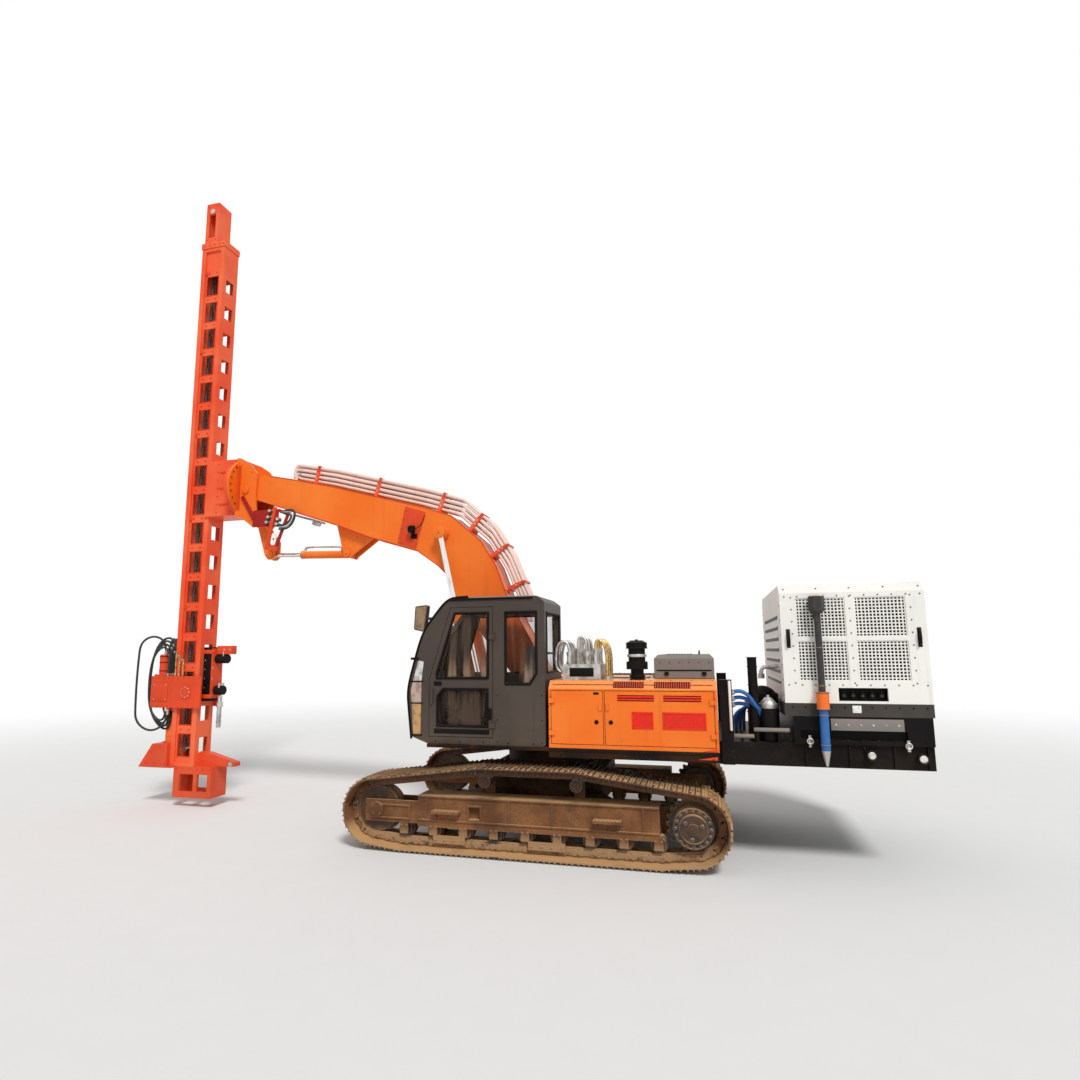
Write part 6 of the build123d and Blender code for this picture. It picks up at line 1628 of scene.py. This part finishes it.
class RIG_OT_platform(Operator):
    """Add hoses, lamps, posts, valves and bolts to the platform"""

    bl_idname = "rig.platform"
    bl_label = "Platform trim"

    def lamp(self, case, lens, x, z, stalk):
        """A round lamp that faces outwards."""
        case.rod(at(x, -1.10, z), at(x, -1.165, z), 0.052, 24, edge=0.006)
        case.ring(at(x, -1.165, z), NEAR, 0.05, 0.006, 26)
        lens.rod(at(x, -1.16, z), at(x, -1.172, z), 0.044, 24, 0.03)
        if stalk:
            case.rod(at(x - 0.04, -1.13, z + 0.02), at(x - 0.08, -1.13, z + 0.12), 0.01, 8)

    def execute(self, context):
        black, steel, white, blue, grey, case, lens = (Shape() for i in range(7))
        white.rod(at(2.265, -1.168, 1.42), at(2.265, -1.168, 1.95), 0.015, 14, edge=0.003)
        for z in (1.46, 1.9):
            black.box(at(2.245, -1.17, z), at(2.285, -1.148, z + 0.02), 0.002)
        black.rod(at(2.67, -0.98, 1.30), at(2.67, -0.98, 1.655), 0.095, 28, edge=0.004)
        steel.rod(at(2.67, -0.98, 1.65), at(2.67, -0.98, 1.70), 0.098, 28, edge=0.005)
        steel.rod(at(2.67, -0.98, 1.70), at(2.67, -0.98, 1.765), 0.09, 28, 0.035, 0.006)
        steel.rod(at(2.67, -0.98, 1.76), at(2.67, -0.98, 1.79), 0.016, 8)
        for i, (rise, reach) in enumerate(((0.0, 0.0), (-0.07, 0.03), (-0.14, 0.06))):
            y = -1.09 + i * 0.05
            blue.pipe([at(x, y + aside, z + rise) for x, aside, z in (
                (2.285, 0, 1.82), (2.36, 0, 1.85), (2.46 + reach, 0, 1.80),
                (2.53 + reach, 0.02, 1.68), (2.6, 0.1, 1.60), (2.66, 0.3, 1.56))], 0.021)
            steel.rod(at(2.285, y, 1.818 + rise), at(2.315, y, 1.828 + rise), 0.028, 6)
        for x, y in zip(row(2.3, 0.05, 4), row(-0.3, 0.12, 4)):
            blue.pipe([at(x, y, 1.3), at(x, y, 1.5), at(2.5, y + 0.05, 1.62),
                       at(2.7, y + 0.05, 1.62), at(2.84, y + 0.05, 1.66)], 0.02)
        for x, z, last in ((2.50, 1.43, 2.86), (2.29, 1.36, 2.50)):
            grey.rod(at(x, -1.10, z), at(last, -1.10, z), 0.022, 14, edge=0.003)
        for x in (2.36, 2.52, 2.74):
            black.box(at(x, -1.105, 1.295), at(x + 0.03, -1.08, 1.43), 0.003)
        grey.box(at(3.26, -1.166, 1.445), at(3.95, -1.149, 1.565), 0.005)
        steel.rows(row(3.31, 0.118, 6), (-1.166,), (1.505,), NEAR, 0.010)
        white.box(at(3.48, -1.156, 1.625), at(3.565, -1.149, 1.70), 0.002)
        steel.rows((3.49, 3.555), (-1.156,), (1.662,), NEAR, 0.004)
        for side, out in SIDES:
            face = (side * CANOPY_SIDE,)
            black.rows(row(2.98, 0.145, 9), face, (1.345,), out, 0.011)
            black.rows(row(2.9, 0.128, 11), face, (1.68,), out, 0.008)
            black.rows((2.185, 2.262), face, (1.2, 1.5, 1.8), out, 0.009)
            black.rows(row(2.36, 0.1, 6), (side * 1.11,), (1.10, 1.26), out, 0.012)
            for x in (3.0, 3.42, 3.84, 4.15):
                black.box(at(x, side * 1.109, 1.065), at(x + 0.02, side * 1.135, 1.298), 0.003)
        for x, low, high in ((3.05, 1.27, 1.39), (3.975, 1.25, 1.36)):
            steel.rod(at(x, -1.16, low), at(x, -1.16, high), 0.016, 6)
            steel.ring(at(x, -1.172, (low + high) / 2), NEAR, 0.028, 0.008, 18)
        self.lamp(case, lens, 3.63, 1.20, True)
        self.lamp(case, lens, 4.10, 1.18, False)
        for y in (-0.7, 0.7):
            black.box(at(4.218, y - 0.12, 1.33), at(4.232, y + 0.12, 1.46), 0.004)
            black.rows((4.232,), (y - 0.09, y + 0.09), (1.395,), BEHIND, 0.010)
        black.rod(at(2.52, -1.0, 2.195), at(2.52, -1.0, 2.203), 0.056, 22, edge=0.002)
        for z in (1.5, 1.9, 2.1):
            black.ring(at(2.52, -1.0, z), UP, 0.051, 0.006)
        for z in (1.36, 1.58, 1.76):
            black.ring(at(2.64, -0.62, z), UP, 0.171, 0.008, 36)
        steel.rod(at(2.64, -0.62, 1.955), at(2.64, -0.62, 2.01), 0.04, 6)
        steel.pipe([at(2.64, -0.62, 2.0), at(2.64, -0.62, 2.08), at(2.72, -0.62, 2.09),
                    at(2.84, -0.62, 2.09)], 0.022)
        steel.rod(at(2.5, -0.72, 1.7), at(2.46, -0.745, 1.7), 0.045, 20)
        black.done("platform_trim", "black_paint", "house")
        steel.done("platform_fittings", "machined_steel", "house")
        white.done("platform_post", "white_paint", "house")
        blue.done("platform_hoses", "blue_hose", "house")
        grey.done("platform_beams", "grey_paint", "house")
        case.done("platform_lamps", "black_paint", "house")
        lens.done("platform_lenses", "lamp_glass", "house")
        return {"FINISHED"}


class RIG_OT_canopy(Operator):
    """Lay the canopy's fine grilles and add its bolts, handles, louvres and taps"""

    bl_idname = "rig.canopy"
    bl_label = "Canopy"

    def panel(self, shape, side, x, z):
        """A perforated panel as fine crossed bars in a frame."""
        width, height, pitch = 0.49, 0.42, 0.035
        inner, outer = side * 1.131, side * 1.138
        columns, rows = round(width / pitch), round(height / pitch)
        for i in range(1, columns):
            place = x + width * i / columns
            shape.box(at(place - 0.0065, inner, z), at(place + 0.0065, outer, z + height))
        for i in range(1, rows):
            place = z + height * i / rows
            shape.box(at(x, inner + side * 0.001, place - 0.0065),
                      at(x + width, outer - side * 0.0006, place + 0.0065))
        for place in (x, x + width):
            shape.box(at(place - 0.012, side * 1.125, z),
                      at(place + 0.012, side * 1.143, z + height), 0.002)
        for place in (z, z + height):
            shape.box(at(x, side * 1.126, place - 0.012),
                      at(x + width, side * 1.144, place + 0.012), 0.002)

    def execute(self, context):
        grille, bolts, black, gold = Shape(), Shape(), Shape(), Shape()
        for side, out in SIDES:
            for x in (2.99, 3.57):
                for z in (1.95, 2.41):
                    self.panel(grille, side, x, z)
            face = (side * CANOPY_SIDE,)
            bolts.rows((2.945, 3.525, 4.105), face, row(1.93, 0.13, 8), out, 0.0075)
            bolts.rows(row(2.88, 0.132, 11), face, (1.91, 2.85), out, 0.0075)
            for x in (2.90, 4.165):
                y = side * CANOPY_SIDE
                black.pipe([at(x, y + side * reach, z) for reach, z in (
                    (0, 2.32), (0.045, 2.325), (0.048, 2.40), (0.045, 2.475), (0, 2.48))], 0.010)
                black.box(at(x - 0.02, y, 2.30), at(x + 0.02, y + side * 0.004, 2.50), 0.001)
            for x in row(3.41, 0.09, 5):
                black.rod(at(x, side * 1.09, 1.80), at(x, side * 1.13, 1.80), 0.026, 14, edge=0.003)
                gold.rod(at(x, side * 1.12, 1.80), at(x, side * 1.146, 1.80), 0.015, 6)
                black.box(at(x - 0.006, side * 1.13, 1.80), at(x + 0.006, side * 1.14, 1.85), 0.002)
            black.box(at(3.37, side * 1.06, 1.745), at(3.82, side * 1.07, 1.878))
            sloped = Vector((0, side, 1)).normalized()
            bolts.rows(row(2.88, 0.33, 5), (side * 1.105,), (2.934,), sloped, 0.008)
        for x, hand in ((2.83, -1), (4.24, 1)):
            face = x + hand * 0.001
            for z in row(1.9, 0.12, 7):
                # A thin black strip under each lip: painted shade in the louvre's gap
                black.box(at(face - hand * 0.004, -0.86, z), at(face, 0.86, z + 0.05))
                lip = [at(x + hand * reach, -0.87, z + rise) for reach, rise in (
                    (-0.002, 0.05), (0.008, 0.035), (0.008, 0.042), (-0.002, 0.062))]
                grille.prism(lip, FAR * 1.74)
            bolts.rows((x,), (-1.08, 1.08), row(1.8, 0.16, 7), (hand, 0, 0), 0.0075)
        for y in (-0.6, 0.0, 0.6):
            grille.box(at(3.0, y - 0.2, 2.979), at(4.07, y + 0.2, 2.986), 0.002)
            bolts.rows((3.03, 3.535, 4.04), (y - 0.18, y + 0.18), (2.986,), UP, 0.008)
        made = grille.done("canopy_grilles", "white_paint", "house")
        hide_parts("grille_panels")
        bolts.done("canopy_bolts", "grey_paint", "house", "machined_steel")
        black.done("canopy_handles", "black_paint", "house")
        gold.done("canopy_taps", "dark_grey", "house")
        tool = Shape()
        x, y = 3.19, -1.225
        for z, radius, bar in ((1.665, 0.063, 0.006), (1.835, 0.063, 0.006), (1.90, 0.036, 0.007),
                               (2.3, 0.035, 0.005), (2.67, 0.045, 0.010), (1.30, 0.045, 0.005),
                               (1.6, 0.046, 0.005)):
            tool.ring(at(x, y, z), UP, radius, bar)
        tool.rod(at(x, y, 2.838), at(x, y, 2.853), 0.05, 24, 0.035, 0.004)
        for z in (1.525, 2.625):
            tool.box(at(x - 0.035, -1.158, z - 0.02), at(x + 0.035, -1.149, z + 0.07), 0.002)
            tool.rows((x,), (-1.158,), (z - 0.012, z + 0.062), NEAR, 0.007)
        tool.done("tool_rings", "roller_steel", "house")
        return {"FINISHED"}


class RIG_OT_finishes(Operator):
    """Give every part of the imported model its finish"""

    bl_idname = "rig.finishes"
    bl_label = "Finishes"

    def execute(self, context):
        for name, nodes in NODE_FINISHES.items():
            for node in nodes:
                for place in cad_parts[node].material_slots:
                    place.material = finish(name)
        return {"FINISHED"}


class RIG_OT_stage(Operator):
    """Lay the floor and set the soft studio light"""

    bl_idname = "rig.stage"
    bl_label = "Stage"

    def execute(self, context):
        stage = context.scene.rig_stage
        self.floor(context, stage)
        self.room(context, stage)
        self.lamps(context, stage)
        context.scene.view_settings.view_transform = "Standard"
        return {"FINISHED"}

    def floor(self, context, stage):
        """A pale floor that fades into the room far from the object."""
        bm = bmesh.new()
        bmesh.ops.create_grid(bm, x_segments=8, y_segments=8, size=90.0)
        mesh = bpy.data.meshes.new("floor")
        bm.to_mesh(mesh)
        bm.free()
        f = Finish("floor_paint")
        distance = f.node("ShaderNodeVectorMath", {"operation": "LENGTH"}, {0: f.place}, "Value")
        grain = f.noise(3.0, 6.0)
        shade = f.mix(grain.between(0.3, 0.7) * 0.35, stage.floor, darker(stage.floor, 0.97))
        matt = f.node("ShaderNodeBsdfDiffuse", {}, {"Color": shade})
        room = f.node("ShaderNodeEmission", {}, {"Color": WHITE, "Strength": 1.0})
        factor = distance.between(9.0, 26.0) * f.seen()
        mixed = f.node("ShaderNodeMixShader", {}, {0: factor, 1: matt, 2: room})
        f.node("ShaderNodeOutputMaterial", {}, {"Surface": mixed}, None)
        mesh.materials.append(f.material)
        floor = bpy.data.objects.new("floor", mesh)
        context.scene.collection.objects.link(floor)

    def room(self, context, stage):
        """White where the camera sees it, and a weaker light on the object."""
        world = bpy.data.worlds.new("room")
        world.use_nodes = True
        context.scene.world = world
        room = Nodes(world.node_tree)
        level = room.node("ShaderNodeMix", {}, {0: room.seen(), 2: stage.fill, 3: 1.0})
        glow = room.node("ShaderNodeBackground", {}, {"Color": WHITE, "Strength": level})
        room.node("ShaderNodeOutputWorld", {}, {"Surface": glow}, None)

    def lamps(self, context, stage):
        """A soft sun from behind the camera's left shoulder."""
        data = bpy.data.lights.new("soft_sun", "SUN")
        data.energy = stage.key
        data.angle = math.radians(14)
        lamp = bpy.data.objects.new("soft_sun", data)
        lamp.rotation_euler = Vector((0.45, -0.72, 0.95)).to_track_quat("Z", "Y").to_euler()
        context.scene.collection.objects.link(lamp)


class RIG_PT_panel(Panel):
    """The rig's settings and steps"""

    bl_idname = "RIG_PT_panel"
    bl_label = "Drill rig"
    bl_space_type = "VIEW_3D"
    bl_region_type = "UI"
    bl_category = "Drill rig"

    def draw(self, context):
        scene = context.scene
        for settings in (scene.rig_colours, scene.rig_sizes, scene.rig_stage):
            column = self.layout.column()
            for name in settings.__annotations__:
                column.prop(settings, name)
        for step in STEPS:
            self.layout.operator(step.bl_idname)


STEPS = (
    RIG_OT_camera, RIG_OT_hoses, RIG_OT_seat, RIG_OT_finishes, RIG_OT_tracks, RIG_OT_undercarriage,
    RIG_OT_house, RIG_OT_cab, RIG_OT_boom, RIG_OT_head, RIG_OT_mast, RIG_OT_rotary, RIG_OT_platform,
    RIG_OT_canopy, RIG_OT_stage,
)
CLASSES = (RigColours, RigSizes, StageSettings, *STEPS, RIG_PT_panel)


def register():
    for item in CLASSES:
        bpy.utils.register_class(item)
    bpy.types.Scene.rig_colours = PointerProperty(type=RigColours)
    bpy.types.Scene.rig_sizes = PointerProperty(type=RigSizes)
    bpy.types.Scene.rig_stage = PointerProperty(type=StageSettings)


def unregister():
    for name in ("rig_colours", "rig_sizes", "rig_stage"):
        delattr(bpy.types.Scene, name)
    for item in reversed(CLASSES):
        bpy.utils.unregister_class(item)


def main():
    register()
    for step in STEPS:
        group, name = step.bl_idname.split(".")
        if getattr(getattr(bpy.ops, group), name)() != {"FINISHED"}:
            raise RuntimeError(step.bl_label + " did not finish")


if __name__ == "__main__":
    main()
